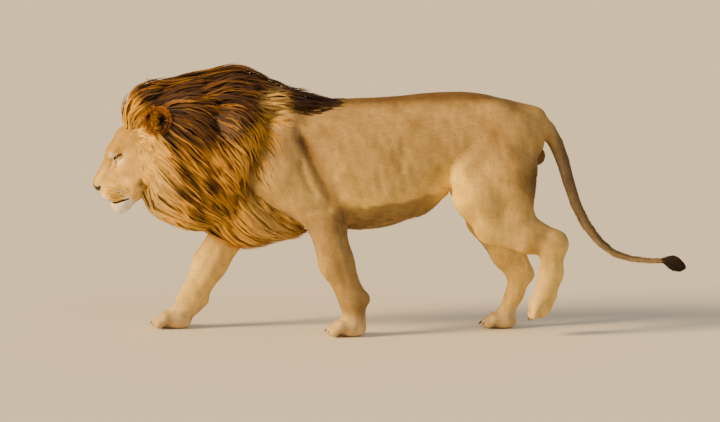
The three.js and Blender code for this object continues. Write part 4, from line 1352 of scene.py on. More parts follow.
# the skin under the mane is near black: the mane's dark roots, and painted shade between the locks
set_colours(skin_mesh, "coat", painted(skin_colours, len(skin_places), [(MANE_ROOT_AND_SHADE, under_mane * on_body)]))
set_numbers(skin_mesh, "bare", bareness(skin_places))
skin_mesh.calc_loop_triangles()
skin_triangles = rows_of(skin_mesh.loop_triangles, "vertices", int)
skin_mesh.vertices.foreach_set("co", to_frame(skin_places).ravel())
skin_mesh.shade_smooth()
skin = add_object(skin_mesh, hide)
print("the skin replaces", len(FLESH_NODES), "solids")

# %% [markdown]
# ## How a tuft is made
#
# A lock of hair tapers from its root to a point. Each tuft here is a three-cornered spike: rings of
# three corners along a path, a cap at the root and one corner at the tip. All the tufts of a piece
# come from arrays, so that tens of thousands of them take seconds. Three things make spikes look like
# hair: their shading leans towards the shading of the body below, their colour is the skin's own at
# the root, and they overlap. Each tuft has its place in the map "OFBake": a patch 0.003 across, put
# where its root is along and round the body part that it grows on.

# %% Tufts from arrays
PATCH = 0.003
MARGIN = 0.02  # kept free round the map's edge
CORNERS = ((-0.5, 0.0), (0.0, 1.0), (0.5, 0.0))  # across and up, as shares of width and thickness


def tuft_faces(rings):
    """Triangles of one tuft, with the place of each corner round and along the tuft, 0 to 1."""
    tip = 3 * rings
    faces, spots = [(0, 2, 1)], [((0.0, 0.0), (1.0, 0.0), (0.5, 0.0))]
    for ring in range(rings):
        for side in range(3):
            turn = (side + 1) % 3
            u0, u1 = side / 3, (side + 1) / 3
            a, b = 3 * ring + side, 3 * ring + turn
            v0, v1 = ring / rings, (ring + 1) / rings
            if ring == rings - 1:
                faces.append((a, b, tip))
                spots.append(((u0, v0), (u1, v0), ((u0 + u1) / 2, 1.0)))
                continue
            faces += [(a, b, b + 3), (a, b + 3, a + 3)]
            spots += [((u0, v0), (u1, v0), (u1, v1)), ((u0, v0), (u1, v1), (u0, v1))]
    return np.array(faces), np.array(spots).reshape(-1, 2)


def on_corners(rows):
    """What each ring has, given to its three corners; the tip has one corner."""
    return np.concatenate([np.repeat(rows[:, :-1], 3, 1), rows[:, -1:]], 1)


def spikes(paths, outward, width, flatness, softness):
    """Corners of three-cornered spikes along paths, and normals that lean to the body's by the softness."""
    count, rings = len(paths), paths.shape[1] - 1
    along = unit(np.gradient(paths, axis=1))
    across = unit(np.cross(along, outward))
    up = np.cross(across, along)
    wide = width[..., None]
    corners, normals = [], []
    for side, rise in CORNERS:
        corners.append((paths + across * side * wide + up * rise * flatness * wide)[:, :rings])
        normals.append((across * 2 * side + up * (rise - 0.1))[:, :rings])
    corners = np.stack(corners, 2).reshape(count, 3 * rings, 3)
    normals = np.stack(normals, 2).reshape(count, 3 * rings, 3)
    corners = np.concatenate([corners, paths[:, rings:]], 1)
    normals = np.concatenate([normals, up[:, rings:]], 1)
    return corners, unit(normals * (1 - softness) + on_corners(outward) * softness)


def tufts(name, material, paths, outward, width, flatness, colours, unwrap, softness):
    """One piece of closed tufts. paths is (tufts, rings + 1, 3) with the tip last; width is per ring."""
    corners, normals = spikes(paths, outward, width, flatness, softness)
    count, size = corners.shape[:2]
    faces, spots = tuft_faces(paths.shape[1] - 1)
    index = (faces[None] + size * np.arange(count)[:, None, None]).reshape(-1)
    mesh = bpy.data.meshes.new(name)
    mesh.vertices.add(count * size)
    mesh.vertices.foreach_set("co", to_frame(corners.reshape(-1, 3)).ravel())
    mesh.loops.add(len(index))
    mesh.loops.foreach_set("vertex_index", index)
    mesh.polygons.add(len(index) // 3)
    mesh.polygons.foreach_set("loop_start", np.arange(0, len(index), 3))
    mesh.update(calc_edges=True)
    strand = np.tile(spots, (count, 1))
    mesh.uv_layers.new(name="strand").data.foreach_set("uv", strand.ravel())
    low, high = unwrap.min(0), unwrap.max(0)
    root = MARGIN + (1 - 2 * MARGIN) * (unwrap - low) / np.maximum(high - low, 1e-9)
    patch = np.repeat(root, len(spots), 0) + (strand - 0.5) * PATCH
    mesh.uv_layers.new(name="OFBake").data.foreach_set("uv", patch.ravel())
    set_colours(mesh, "coat", on_corners(colours).reshape(-1, 3))
    mesh.shade_smooth()
    mesh.normals_split_custom_set_from_vertices(normals.reshape(-1, 3))
    piece = add_object(mesh, material)
    print(f"{name}: {count} tufts, {len(index) // 3} triangles")
    return piece


print("a tuft of 1 ring has", len(tuft_faces(1)[0]), "triangles, and one of 6 rings", len(tuft_faces(6)[0]))

# %% [markdown]
# ## The short coat
#
# Over most of its body a lion's hair is one to two centimetres long and lies flat. The skin's bump
# gives its grain, and the tufts break the edge of the form. They are smallest on the face and the
# feet, longer on the belly, behind the thighs and at the elbows, and longest where the coat runs into
# the mane. Seeds are thrown at random on the skin's triangles, more of them where the tufts are small.

# %% Length of the short coat
COVER = 1.35  # how many tufts lie over each point, on average
generator = np.random.default_rng(42)


def tuft_width(length):
    return 0.6 + 0.15 * length


def coat_size(points, part):
    """Length of the tufts, and how far their tips stand off as a share of it."""
    x, y, z = points.T
    leg = np.char.startswith(part, "fore_") | np.char.startswith(part, "hind_")
    length = np.where(leg, 12.5, np.where(part == "tail", 11.0, 15.0))
    stand = np.where(part == "tail", 0.04, 0.075)
    belly = smooth(560, 500, z) * smooth(160, 110, np.abs(y)) * ~leg
    thigh = smooth(830, 870, x) * smooth(500, 560, z) * smooth(760, 690, z) * (x < 960)
    elbow = 0
    for side, j in ((LEFT, FORE_LEFT), (RIGHT, FORE_RIGHT)):
        elbow_x, elbow_z = j["elbow"]
        behind = spot(x, z, (elbow_x + 64, elbow_z + 10), 52) * (y * side > 0)
        elbow = np.maximum(elbow, smooth(0.3, 0.9, behind))
    for longer, higher, there in ((12, 0.15, belly), (9, 0.1, thigh), (20, 0.25, elbow)):
        length = length + longer * there
        stand = stand + higher * there
    length = length + (8.0 - length) * smooth(130, 80, z)
    h = mirrored(in_head(points))
    on_face = 4.2 + 6.5 * smooth(60, -60, h[:, 0]) + 3.5 * smooth(-60, -130, h[:, 0])
    on_face += 9 * smooth(-150, -180, h[:, 2]) * smooth(30, 70, h[:, 0])
    on_face -= 1.6 * smooth(34, 20, np.linalg.norm(h - EYE, axis=1))
    length = np.where(part == "head", on_face, length)
    near_mane = smooth(34, 2, worked_out(mane_field, points)) * smooth(-600, -700, x)
    return length * (1 + 0.9 * near_mane), stand


print("tufts of 15 mm are", tuft_width(15), "mm wide, and lie", COVER, "deep")

# %% Where no tuft grows
leather_region = flesh(6, [
    lump((149, 0, -51), (23, 27, 20)),  # tip of the nose
    lump((124, 28, -61), (35, 13, 12)),  # wings round the nostrils
    lump((140, 0, -88), (16, 3.5, 26)),  # groove down to the lip
])


def hairless(points):
    """True where no tuft grows: the eye, nose, mouth, soles and the skin deep under the mane."""
    h = mirrored(in_head(points))
    mouth, _ = line_distance(h[:, [0, 2]], MOUTH)
    face = (points[:, 2] > 450) & (points[:, 0] < -800)
    bald = face & (almond(h) < 2.4) & (np.linalg.norm(h - EYE, axis=1) < EYE_RADIUS + 12)
    bald |= face & (mouth < 2.6) & (h[:, 0] > 50)
    bald |= face & (leather_region(h) < 1.5)
    bald |= worked_out(mane_field, points) < -16
    out, aside = ear_axes(points)
    bald |= (aside < EAR_RADIUS + 4) & (np.abs(out) < 50)
    return bald | (points[:, 2] < 3)


body_triangles = skin_triangles[(skin_triangles < body_vertex_count).all(1)]
centres = skin_places[body_triangles].mean(1)
bald_triangles = hairless(centres)
print(f"{bald_triangles.mean():.0%} of the body's triangles stay hairless, most of them under the mane")

# %% Seeds and paths of short tufts
def scatter(places, normals, triangles, density, rng):
    """Random places on triangles with so many to the square millimetre, and the skin's normals there."""
    a, b, c = (places[triangles[:, i]] for i in range(3))
    area = np.linalg.norm(np.cross(b - a, c - a), axis=1) / 2
    count = np.floor(area * density + rng.random(len(area))).astype(int)
    pick = np.repeat(np.arange(len(triangles)), count)
    u, v = rng.random((2, len(pick)))
    far = u + v > 1
    u[far], v[far] = 1 - u[far], 1 - v[far]
    share = np.stack([1 - u - v, u, v], 1)[:, :, None]
    corner = triangles[pick]
    return (places[corner] * share).sum(1), unit((normals[corner] * share).sum(1))


def short_coat(spots, normals, lie, length, stand, ground):
    """Paths of short tufts that lie over a ground field, from a root just under it."""
    rng = np.random.default_rng(len(spots))
    side = np.cross(lie, normals)
    lie = unit(lie + side * rng.normal(0, 0.16, (len(spots), 1)))
    length = length * rng.uniform(0.7, 1.2, len(spots))
    tips = spots + lie * length[:, None]
    rise = stand * length - worked_out(ground, tips)
    tips += normals * np.clip(rise, -6, 12)[:, None]
    width = tuft_width(length)[:, None] * np.array([1.0, 0.0])
    return np.stack([spots - 0.6 * normals, tips], 1), width


part_there, _ = coat_lie(centres, skin_normals[body_triangles[:, 0]])
size_there, _ = coat_size(centres, part_there)
density = COVER / (size_there * tuft_width(size_there)) * ~bald_triangles
seeds, seed_normals = scatter(skin_places, skin_normals, body_triangles, density, generator)
hairy = ~hairless(seeds)
seeds, seed_normals = seeds[hairy], seed_normals[hairy]
print(len(seeds), "seeds of the short coat")

# %% Short coat on the body and the face
COAT_PIECES = [  # piece, part, side
    ("coat_flank_left", "trunk", LEFT), ("coat_flank_right", "trunk", RIGHT),
    ("coat_face_left", "head", LEFT), ("coat_face_right", "head", RIGHT),
    ("coat_tail", "tail", BOTH),
    ("coat_foreleg_left", "fore_left", BOTH), ("coat_foreleg_right", "fore_right", BOTH),
    ("coat_hind_leg_left", "hind_left", BOTH), ("coat_hind_leg_right", "hind_right", BOTH),
]


def body_coat(spots, normals):
    part, lie = coat_lie(spots, normals)
    paths, width = short_coat(spots, normals, lie, *coat_size(spots, part), skin_field)
    near_eye = (spots[:, 0] < -850) & (spots[:, 2] > 500)
    in_eye = (almond(mirrored(in_head(paths[:, -1]))) < 0.8) & near_eye
    lock_shade = generator.normal(1.0, 0.09, (len(spots), 1, 1))
    # painted shade: a tuft is a little darker at its root than at its tip
    root_to_tip = np.array([0.96, 1.05])[None, :, None]
    colours = animal_colour(spots)[:, None, :] * lock_shade * root_to_tip
    outward = np.repeat(normals[:, None, :], 2, 1)
    pieces = {}
    for title, name, side in COAT_PIECES:
        own = (part == name) & ~in_eye & (spots[:, 1] * side >= 0)
        _, place, turn = along_middle(spots[own], name)
        pieces[title] = tufts(title, guard_hair, paths[own], outward[own], width[own], 0.3, colours[own],
                              np.stack([place, turn], 1), 0.88)
    return pieces


coat_pieces = body_coat(seeds, seed_normals)

# %% [markdown]
# ## The mane's locks
#
# A mane could be combed by hand; here each lock finds its own way. It starts on the mane's outline and
# is traced both ways: onwards along the comb marks, keeping a little below the outline, and back
# against them, diving inwards until it meets the skin. That gives every lock a root on the neck, as a
# real one has. Seven thin strands follow each lock and close up towards its tip, so the mane breaks
# into pointed locks with dark gaps between them. Strands that would pass through an ear go round it.

# %% The hairline, the parting and the mane's cover
STEP = 14.0  # mm between the points of a trace
NET = 26.0  # mm between locks
STRANDS = 7  # in each lock
LONG_RINGS = 6
# x and z of the front edge of the mane's roots
HAIRLINE = [(-776, 540), (-781, 600), (-777, 680), (-806, 782), (-813, 868), (-842, 884), (-908, 896)]
PARTING = [(-700, 880), (-664, 820), (-600, 715), (-545, 600)]  # the dark line behind the cheek's ruff
rng = np.random.default_rng(7)


def behind_hairline(points):
    """How far points are behind the front edge of the mane's roots, in mm along x."""
    x, z = np.array(HAIRLINE, float).T
    return points[:, 0] - np.interp(points[:, 2], z, x)


def cover(points):
    """The mane's outline, kept out of the skin."""
    return np.minimum(mane_field(points), skin_field(points) - 3)


def parting(points):
    away, place = line_distance(points[:, [0, 2]], PARTING)
    return np.exp(-((away / 20) ** 2)) * smooth(60, 120, np.abs(points[:, 1])) * smooth(0, 0.2, 1 - place)


print("locks start about", NET, "mm apart, with", STRANDS, "strands each")

# %% Tracing a lock on and back
def trace_on(place, depth, steps):
    """Onwards over the mane, at a depth below its outline; near its end a lock hangs free."""
    track, way = [place], 0
    for number in range(steps):
        here = worked_out(cover, place)
        out = unit(slope_of(cover, place, here, 2.0))
        level = here + depth * (1 - 0.5 * number / steps) + 20 * parting(place)
        hold = 1 - smooth(0.45, 0.95, number / steps)
        place = place - out * np.clip(0.7 * level, -3, 9)[:, None] * hold
        wanted = flat_on(mane_lie(place, out), out)
        way = unit(0.5 * wanted + 0.5 * way + (0, 0, -0.12 * (1 - hold))) if number else wanted
        place = place + STEP * way
        track.append(place)
    return track


def trace_back(place, steps):
    """Back against the comb, diving more and more steeply, until inside the skin."""
    track = []
    for number in range(steps):
        front = smooth(75, 12, behind_hairline(place))
        here = worked_out(skin_field, place)
        out = unit(slope_of(skin_field, place, here, 2.0))
        dive = np.radians((14 + 46 * min(1, number / 9)) * (1 - front) + 87 * front)[:, None]
        way = flat_on(mane_lie(place, out), out)
        move = STEP * (np.cos(dive) * way + np.sin(dive) * out)
        place = place - move * (here > -3)[:, None]
        track.append(place)
    return track


print("points of a trace are", STEP, "mm apart")

# %% Where locks start
def starts_on_cover():
    """Places on the mane's outline, apart from the parting and from where it runs into the skin."""
    net, _ = surface_net(mane_field, (-960, -250, 360), (60, 250, 1180), NET)
    places = net + rng.uniform(-0.4, 0.4, net.shape) * NET
    here = worked_out(cover, places)
    places = places - unit(slope_of(cover, places, here, 2.0)) * here[:, None]
    places = places[worked_out(skin_field, places) > 7]
    return places[parting(places) < 0.75]


def starts_on_skin(zone, rule, room):
    """Random places on a zone of the skin where a rule holds, one to so many square mm."""
    there = centres[zone]
    band = rule(there, worked_out(mane_field, there)) & ~bald_triangles[zone]
    return scatter(skin_places, skin_normals, body_triangles[zone], band / room, rng)[0]


def on_ruff(places, to_mane):
    """Shorter locks on the cheek in front of the mane."""
    return (behind_hairline(places) > -26) & (to_mane > -14)


def on_withers(places, to_mane):
    """The mane thins out into locks that grow on the back itself."""
    return (to_mane > -16) & (to_mane < 5)


x, _, z = centres.T
cover_starts = starts_on_cover()
cover_depth = 26 * rng.random(len(cover_starts)) ** 1.4 + 2
ruff_starts = starts_on_skin((x < -690) & (z > 560), on_ruff, 74.0)
rear_starts = starts_on_skin((x > -330) & (x < 30) & (z > 400), on_withers, 260.0)
starts = np.concatenate([cover_starts, ruff_starts, rear_starts])
kind = np.repeat([0, 1, 2], [len(cover_starts), len(ruff_starts), len(rear_starts)])
start_depth = np.where(kind == 0, np.pad(cover_depth, (0, len(kind) - len(cover_depth))), -1.0)
print("locks on the outline, the cheeks and the withers:", np.bincount(kind))

# %% Tracing all the locks
ON_STEPS, BACK_STEPS = 9, 16
start_out = unit(slope_of(cover, starts, None, 2.0))
below = starts - start_out * np.maximum(start_depth, 0)[:, None]
traces = trace_back(below, BACK_STEPS)[::-1] + trace_on(below, start_depth, ON_STEPS)
traces = np.stack(traces, 1)
for _ in range(8):
    traces[:, 1:-1] = (traces[:, :-2] + 2 * traces[:, 1:-1] + traces[:, 2:]) / 4
rooted_well = behind_hairline(traces[:, 0]) > -30
hull, depth, out, track = (v[rooted_well] for v in (starts, start_depth, start_out, traces))
on_cheek = kind[rooted_well] == 1
behind = behind_hairline(track[:, 0])
front = smooth(90, 20, behind)
print(f"{len(hull)} locks traced through {track.shape[1]} points each")

# %% Paths of the locks
FINE = 28  # points along each lock's path after it is spread evenly


def evenly(track, first, last, count):
    """The same paths from one arc length to another, with evenly spaced points."""
    gap = np.linalg.norm(np.diff(track, axis=1), axis=2)
    run = np.concatenate([np.zeros((len(track), 1)), np.cumsum(gap, 1)], 1)
    wanted = first[:, None] + (last - first)[:, None] * np.linspace(0, 1, count)
    paths = np.empty((len(track), count, 3))
    for i in range(len(track)):
        for m in range(3):
            paths[i, :, m] = np.interp(wanted[i], run[i], track[i, :, m])
    return paths


rooted = np.linalg.norm(np.diff(track[:, :BACK_STEPS + 1], axis=1), axis=2).sum(1)
x, _, z = hull.T
ahead_length = 70 + 55 * rng.random(len(hull))
ahead_length += 25 * smooth(900, 700, z)  # longer on the collar and throat
ahead_length *= 1 - 0.4 * smooth(-820, -880, x) - (0.45 + 0.25 * (z < 600)) * smooth(-250, -140, x)
short = on_cheek * smooth(40, -26, behind)
ahead_length += (34 - ahead_length) * short
straight = evenly(track, np.zeros(len(hull)), rooted + np.minimum(ahead_length, STEP * ON_STEPS - 1), FINE)
along = unit(np.gradient(straight, axis=1))
lock_out = np.repeat(out[:, None, :], FINE, 1)
lock_across = unit(np.cross(along, lock_out))
share_along = np.linspace(0, 1, FINE)
wave_phase, wave_length = rng.uniform(0, 6.28, len(hull)), rng.uniform(100, 170, len(hull))
lock_length = np.linalg.norm(np.diff(straight, axis=1), axis=2).sum(1)
swing = np.sin(share_along[None] * (lock_length / wave_length * 6.28)[:, None] + wave_phase[:, None])
locks = straight + lock_across * (7.5 * swing * smooth(0.1, 0.6, share_along))[..., None]
lock_streak = rng.random(len(hull))
print("locks are", lock_length.min().round(), "to", lock_length.max().round(), "mm long")

# %% Strands of the locks
owner = np.repeat(np.arange(len(hull)), STRANDS)
count = len(owner)
stray = rng.random(count) < 0.07
reach = rng.uniform(0.8, 1.08, count)
reach[stray] *= 1.06
at = np.linspace(0, 1, LONG_RINGS + 1) ** 0.7
spread = rng.uniform(9, 17, len(hull))[owner] * np.sqrt(rng.random(count))
turn = rng.uniform(0, 2 * math.pi, count)
position = np.clip(at[None] * reach[:, None], 0, 1) * (FINE - 1)
index = np.minimum(position.astype(int), FINE - 2)
part_way = (position - index)[..., None]
row = owner[:, None]
strand_paths = locks[row, index] * (1 - part_way) + locks[row, index + 1] * part_way
beyond = np.maximum(at[None] * reach[:, None] - 1, 0) * lock_length[owner][:, None]
strand_paths += along[owner, -1][:, None, :] * beyond[..., None]
strand_across = lock_across[row, index]
strand_out = lock_out[row, index]
closing = 1 - 0.78 * smooth(0.15, 0.95, at)[None] * np.where(stray, 0.1, 1.0)[:, None]
strand_paths += strand_across * (spread * np.cos(turn))[:, None, None] * closing[..., None]
strand_paths += strand_out * (0.42 * spread * np.sin(turn))[:, None, None] * closing[..., None]
frizz = rng.normal(0, 0.7, (count, LONG_RINGS + 1, 1)) * at[None, :, None]
strand_paths += strand_across * frizz
print(count, "strands in the mane")

# %% Keeping strands out of the ears and the skin
def clear_of_ears(points):
    """Points in an ear's cup, or in front of its mouth, move sideways to its rim."""
    for side in (LEFT, RIGHT):
        opening = EAR_OPENING * (1, side, 1)
        away = points - EAR_CENTRE * (1, side, 1)
        out = away @ opening
        sideways = away - out[:, None] * opening
        far = np.linalg.norm(sideways, axis=1)
        radius = EAR_RADIUS + 1 - 30 * smooth(0, -44, out) + 10 * smooth(20, 90, out)
        blocked = (far < radius) & (out > -44)
        points = points + blocked[:, None] * unit(sideways) * (radius - far)[:, None]
    return points


def clear_of_skin(points):
    """Points inside the skin, or less than 2 mm over it, rise to there, but by 14 mm at most."""
    below = 2.0 - worked_out(skin_field, points)
    sunk = below > 0
    rise = unit(slope_of(skin_field, points[sunk], None, 1.0)) * np.minimum(below[sunk], 14)[:, None]
    points[sunk] += rise
    return points


outer = at > 0.3
strand_paths[:, outer] = clear_of_skin(clear_of_ears(strand_paths[:, outer].reshape(-1, 3))).reshape(
    count, outer.sum(), 3)
clear = np.ones(count, bool)
for share in (0.0, 0.33, 0.67):
    between = strand_paths[:, 1:-1] * (1 - share) + strand_paths[:, 2:] * share
    out_there, aside_there = ear_axes(between.reshape(-1, 3))
    crossing = (aside_there < 0.84 * EAR_RADIUS) & (out_there > -48) & (out_there < 70)
    clear &= ~crossing.reshape(count, -1).any(1)
print((~clear).sum(), "strands crossed an ear and are left out")
strand_paths[:, 2:-1] = (strand_paths[:, 1:-2] + 2 * strand_paths[:, 2:-1] + strand_paths[:, 3:]) / 4

# %% Colour and width of the strands
x, y, z = hull[owner].T
streak = np.clip(lock_streak[owner] + rng.normal(0, 0.12, count), 0, 1)
strand_streak = np.repeat(streak[:, None], LONG_RINGS + 1, 1)
front_share = front[owner][:, None]
fringe_end = (smooth(-260, -180, x) * smooth(560, 500, z))[:, None]
# painted shade: darker at the roots, on locks that start deep, and in the parting
root_to_tip = 0.5 + 0.58 * smooth(0.15, 0.75, at)[None]
root_to_tip = root_to_tip + (1.0 - root_to_tip) * 0.8 * np.maximum(front_share, fringe_end)
deep = 1 - 0.55 * smooth(6, 30, depth)[owner]
dim = root_to_tip * deep[:, None] * rng.normal(1, 0.08, (count, 1))
dim *= 1 - 0.85 * parting(strand_paths.reshape(-1, 3)).reshape(count, -1)
long_colour = mane_colour(strand_paths.reshape(-1, 3), strand_streak.ravel()).reshape(strand_paths.shape)
short_colour = animal_colour(strand_paths[:, 0])[:, None, :]
fade = (front_share * (1 - smooth(0.2, 0.8, at))[None] * smooth(1000, 900, z)[:, None])[..., None]
mane_colours = np.maximum((long_colour * (1 - fade) + short_colour * fade) * dim[..., None], 0.004)
strand_width = np.array([3.0, 5.2, 5.8, 5.4, 4.5, 3.0, 0.0])[None] * rng.uniform(0.6, 1.25, (count, 1))
strand_width *= 1 - 0.6 * short[owner][:, None]
strand_width *= 1 - 0.4 * (smooth(-250, -140, x) * (z > 600))[:, None]
strand_width[stray] *= 0.4
print(f"strands are up to {strand_width.max():.1f} mm wide")

# %% The mane's pieces
REGIONS = [  # piece, the solid it stands for, and where its locks start; a strand is in the first that fits
    ("mane_crown", "crown_mane", (x < -700) & (z > 930)),
    ("mane_withers", "withers_mane", (x > -330) & (z > 880)),
    ("mane_nape", "nape_mane", (z > 930) & (x >= -700)),
    ("mane_throat", "throat_mane", (x < -470) & (z < 640)),
    ("mane_breast", "breast_mane", (x >= -470) & (z < 560)),
    ("mane_collar_left", "collar_left", y < 0),
    ("mane_collar_right", "collar_right", y >= 0),
]
left_over = clear.copy()
mane_pieces = []
for title, node, there in REGIONS:
    own = there & left_over
    left_over &= ~own
    _, place, turn_there = along_middle(strand_paths[own, 0], "neck")
    piece = tufts(title, mane_hair, strand_paths[own], strand_out[own], strand_width[own], 0.22,
                  mane_colours[own], np.stack([place, turn_there], 1), 0.78)
    mane_pieces.append((piece, node))

# %% [markdown]
# ## Fur of the ears and the tail's tuft
#
# The ear is furred outside, has a fringe on its rim, and long soft hairs stand inside it. The tuft of
# the tail is a brush: coarse dark hairs leave the last of the bone, swell out and close to a point.

# %% Ears
def ear_fur():
    triangles = skin_triangles[(skin_triangles >= body_vertex_count).all(1)]
    spots, normals = scatter(skin_places, skin_normals, triangles, 0.3, generator)
    sides = np.sign(spots[:, 1])
    mirror = np.stack([np.ones(len(spots)), sides, np.ones(len(spots))], 1)
    opening = EAR_OPENING * mirror
    out_of_ear, _ = ear_axes(spots)
    rim = smooth(EAR_LIP - 12, EAR_LIP - 3, out_of_ear)
    inner = ((normals * opening).sum(1) > 0.2) & (rim < 0.5)
    radial = unit(spots - EAR_CENTRE * mirror - out_of_ear[:, None] * opening)
    lie = flat_on(opening + 0.5 * radial + generator.normal(0, 0.12, radial.shape), normals)
    forward = smooth(0.0, 0.7, -radial[:, 0]) * (rim > 0.3)
    lie = flat_on(lie - 1.6 * forward[:, None] * radial, normals)
    length = 12 + 2 * rim + 12 * inner + 30 * forward
    stand = 0.08 + 0.05 * rim + 0.34 * inner + 0.05 * forward
    kept = (worked_out(mane_field, spots) > -30) | inner
    spots, normals, sides = spots[kept], normals[kept], sides[kept]
    paths, width = short_coat(spots, normals, lie[kept], length[kept], stand[kept], ear_field)
    width *= 0.5  # soft fine hair
    # a random tone for each tuft, and painted shade at its root
    shade = generator.normal(1.0, 0.15, (len(spots), 1, 1)) * np.array([0.8, 1.1])[None, :, None]
    base = ear_colour(spots)
    colours = painted(base, len(spots), [(CROWN_GOLD, 0.75 * forward[kept])])[:, None, :] * shade
    outward = np.repeat(normals[:, None, :], 2, 1)
    pieces = {}
    for side, word in SIDES:
        title, own = f"coat_ear_{word}", sides == side
        _, place, turn = along_middle(spots[own], f"ear_{word}")
        pieces[title] = tufts(title, guard_hair, paths[own], outward[own], width[own], 0.35, colours[own],
                              np.stack([place, turn], 1), 0.5)
    return pieces


coat_pieces.update(ear_fur())

# %% Tail tuft
TUFT_HAIRS = 700
TUFT_RINGS = 6
TUFT_END = 1536
# x and radius
TUFT_OUTLINE = [(1420, 11), (1440, 15), (1456, 27), (1482, 35), (1508, 28), (1526, 13), (1536, 3)]
TUFT_MIDDLE = [*[(x, z) for x, _, z in MIDDLE["tail"][:-1]], (1482, 300), (1508, 291), (1540, 279)]


def tail_brush():
    root_x = rng.uniform(1416, 1498, TUFT_HAIRS)
    end_x = np.minimum(root_x + rng.uniform(50, 100, TUFT_HAIRS), TUFT_END - 12 * rng.random(TUFT_HAIRS))
    angle = rng.uniform(0, 2 * math.pi, TUFT_HAIRS)
    fullness = np.sqrt(rng.uniform(0.08, 1.0, TUFT_HAIRS))
    share = np.linspace(0, 1, TUFT_RINGS + 1)
    x_there = root_x[:, None] + (end_x - root_x)[:, None] * share
    outline = np.interp(x_there, *np.array(TUFT_OUTLINE, float).T)
    radius = 6 + (outline * fullness[:, None] - 6) * smooth(0, 0.35, share)
    radius = np.maximum(radius + 1.6 * np.sin(9 * share + 5 * angle[:, None]), 1)
    twist = angle[:, None] + 0.25 * share
    around = np.stack([0 * twist, np.cos(twist), np.sin(twist)], -1)
    middle = np.stack([x_there, 0 * x_there, np.interp(x_there, *np.array(TUFT_MIDDLE, float).T)], -1)
    paths = middle + around * radius[..., None]
    width = np.array([1.6, 2.4, 2.8, 2.6, 2.2, 1.4, 0.0])[None] * rng.uniform(0.7, 1.2, (TUFT_HAIRS, 1))
    browner = painted(TUFT_BLACK, TUFT_HAIRS, [(MANE_BROWN_AND_SHADE, 0.2 * rng.random(TUFT_HAIRS))])
    # painted shade: each hair darker at its root inside the brush
    colours = browner[:, None, :] * (0.7 + 0.6 * share)[None, :, None]
    return tufts("tail_tuft_hair", tuft_hair, paths, around, width, 0.5, colours,
                 np.stack([root_x, angle], 1), 0.4)


tail_tuft = tail_brush()

# %% [markdown]
# ## Eyes, nose and claws
#
# The eyeball is turned round the line of sight: a globe with a slightly steeper cornea. A lion's iris
# is amber and its pupil round. The leather of the nose is cut from the head's own field with a second
# field for its outline, so it fits the nostrils exactly and stands 0.8 mm over the fur's roots. A
# walking lion carries its claws drawn in, so only the tips show between the toes.

# %% Eyes
EYE_RINGS, EYE_SIDES = 28, 32
CORNEA = math.radians(33)  # half angle of the iris as seen from the middle of the eye
SIGHT = unit(np.array([0.60, 0.79, 0.12]))
PUPIL, LIMBUS = math.radians(9), math.radians(37)
EYE_RING_COLOURS = [  # angle from the line of sight, colour
    (0.0, "#050403"), (PUPIL, "#050403"), (PUPIL * 1.15, "#3c2206"), (CORNEA * 0.6, "#6e430d"),
    (CORNEA * 0.92, "#432806"), (CORNEA, "#140c06"), (LIMBUS, "#1c120a"), (LIMBUS * 1.25, "#8c7a66"),
    (math.pi, "#b8a48e"),
]


def eyeball(name, side):
    first = unit(np.cross(SIGHT, (0, 0, 1)))
    second = np.cross(first, SIGHT)
    theta = math.pi * (np.arange(1, EYE_RINGS) / EYE_RINGS) ** 1.25
    phi = 2 * math.pi * np.arange(EYE_SIDES) / EYE_SIDES
    bulge = 1.1 * np.maximum(0, 1 - (theta / CORNEA) ** 2)
    radius = (EYE_RADIUS + bulge)[:, None, None]
    round_it = np.cos(phi)[:, None] * first + np.sin(phi)[:, None] * second
    rings = radius * (np.cos(theta)[:, None, None] * SIGHT + np.sin(theta)[:, None, None] * round_it)
    points = np.concatenate([[SIGHT * (EYE_RADIUS + 1.1)], rings.reshape(-1, 3), [-SIGHT * EYE_RADIUS]])
    angles = np.concatenate([[0], np.repeat(theta, EYE_SIDES), [math.pi]])
    stops = np.array([stop for stop, _ in EYE_RING_COLOURS])
    shades = np.array([linear(code) for _, code in EYE_RING_COLOURS])
    colours = np.stack([np.interp(angles, stops, shades[:, m]) for m in range(3)], 1)
    places = from_head((points + EYE) * (1, side, 1))
    last = len(points) - 1
    faces = []
    for k in range(EYE_SIDES):
        n = (k + 1) % EYE_SIDES
        faces.append((0, 1 + k, 1 + n))
        faces.append((last, last - EYE_SIDES + n, last - EYE_SIDES + k))
        for ring in range(EYE_RINGS - 2):
            a = 1 + ring * EYE_SIDES
            faces.append((a + k, a + EYE_SIDES + k, a + EYE_SIDES + n, a + n))
    mesh = mesh_of(name, to_frame(places), faces)
    set_colours(mesh, "coat", colours)
    outwards(mesh)
    mesh.shade_smooth()
    return add_object(mesh, wet_eye)


eyes = {word: eyeball(f"eyeball_{word}", side) for side, word in SIDES}
print("eyes:", [triangles_in(eye.data) for eye in eyes.values()], "triangles")

# %% Nose leather
LEATHER_PINK, LEATHER_BLACK = linear("#4b352c"), linear("#191210")


def leather_field(h):
    return np.maximum(head_field(h) - 0.9, leather_region(mirrored(h)))


leather_net, leather_quads = surface_net(leather_field, (100, -44, -124), (184, 44, -20), 2.0)
leather_places = settle(leather_field, leather_net, 1, 1.0)
leather = mesh_of("nose_leather", to_frame(from_head(leather_places)), leather_quads)
_, aside, up = mirrored(leather_places).T
leather_shade = painted(LEATHER_BLACK, len(leather_places), [
    (LEATHER_PINK, smooth(-70, -40, up) * smooth(30, 10, aside)),
    # black in the nostrils, painted shade in their openings, and a little round them
    (LEATHER_BLACK, 0.8 * smooth(3, 0, nostril(mirrored(leather_places)))),
])
set_colours(leather, "coat", leather_shade)
outwards(leather)
leather.shade_smooth()
nose_pad = add_object(leather, nose_leather)
print("nose leather:", triangles_in(leather), "triangles")

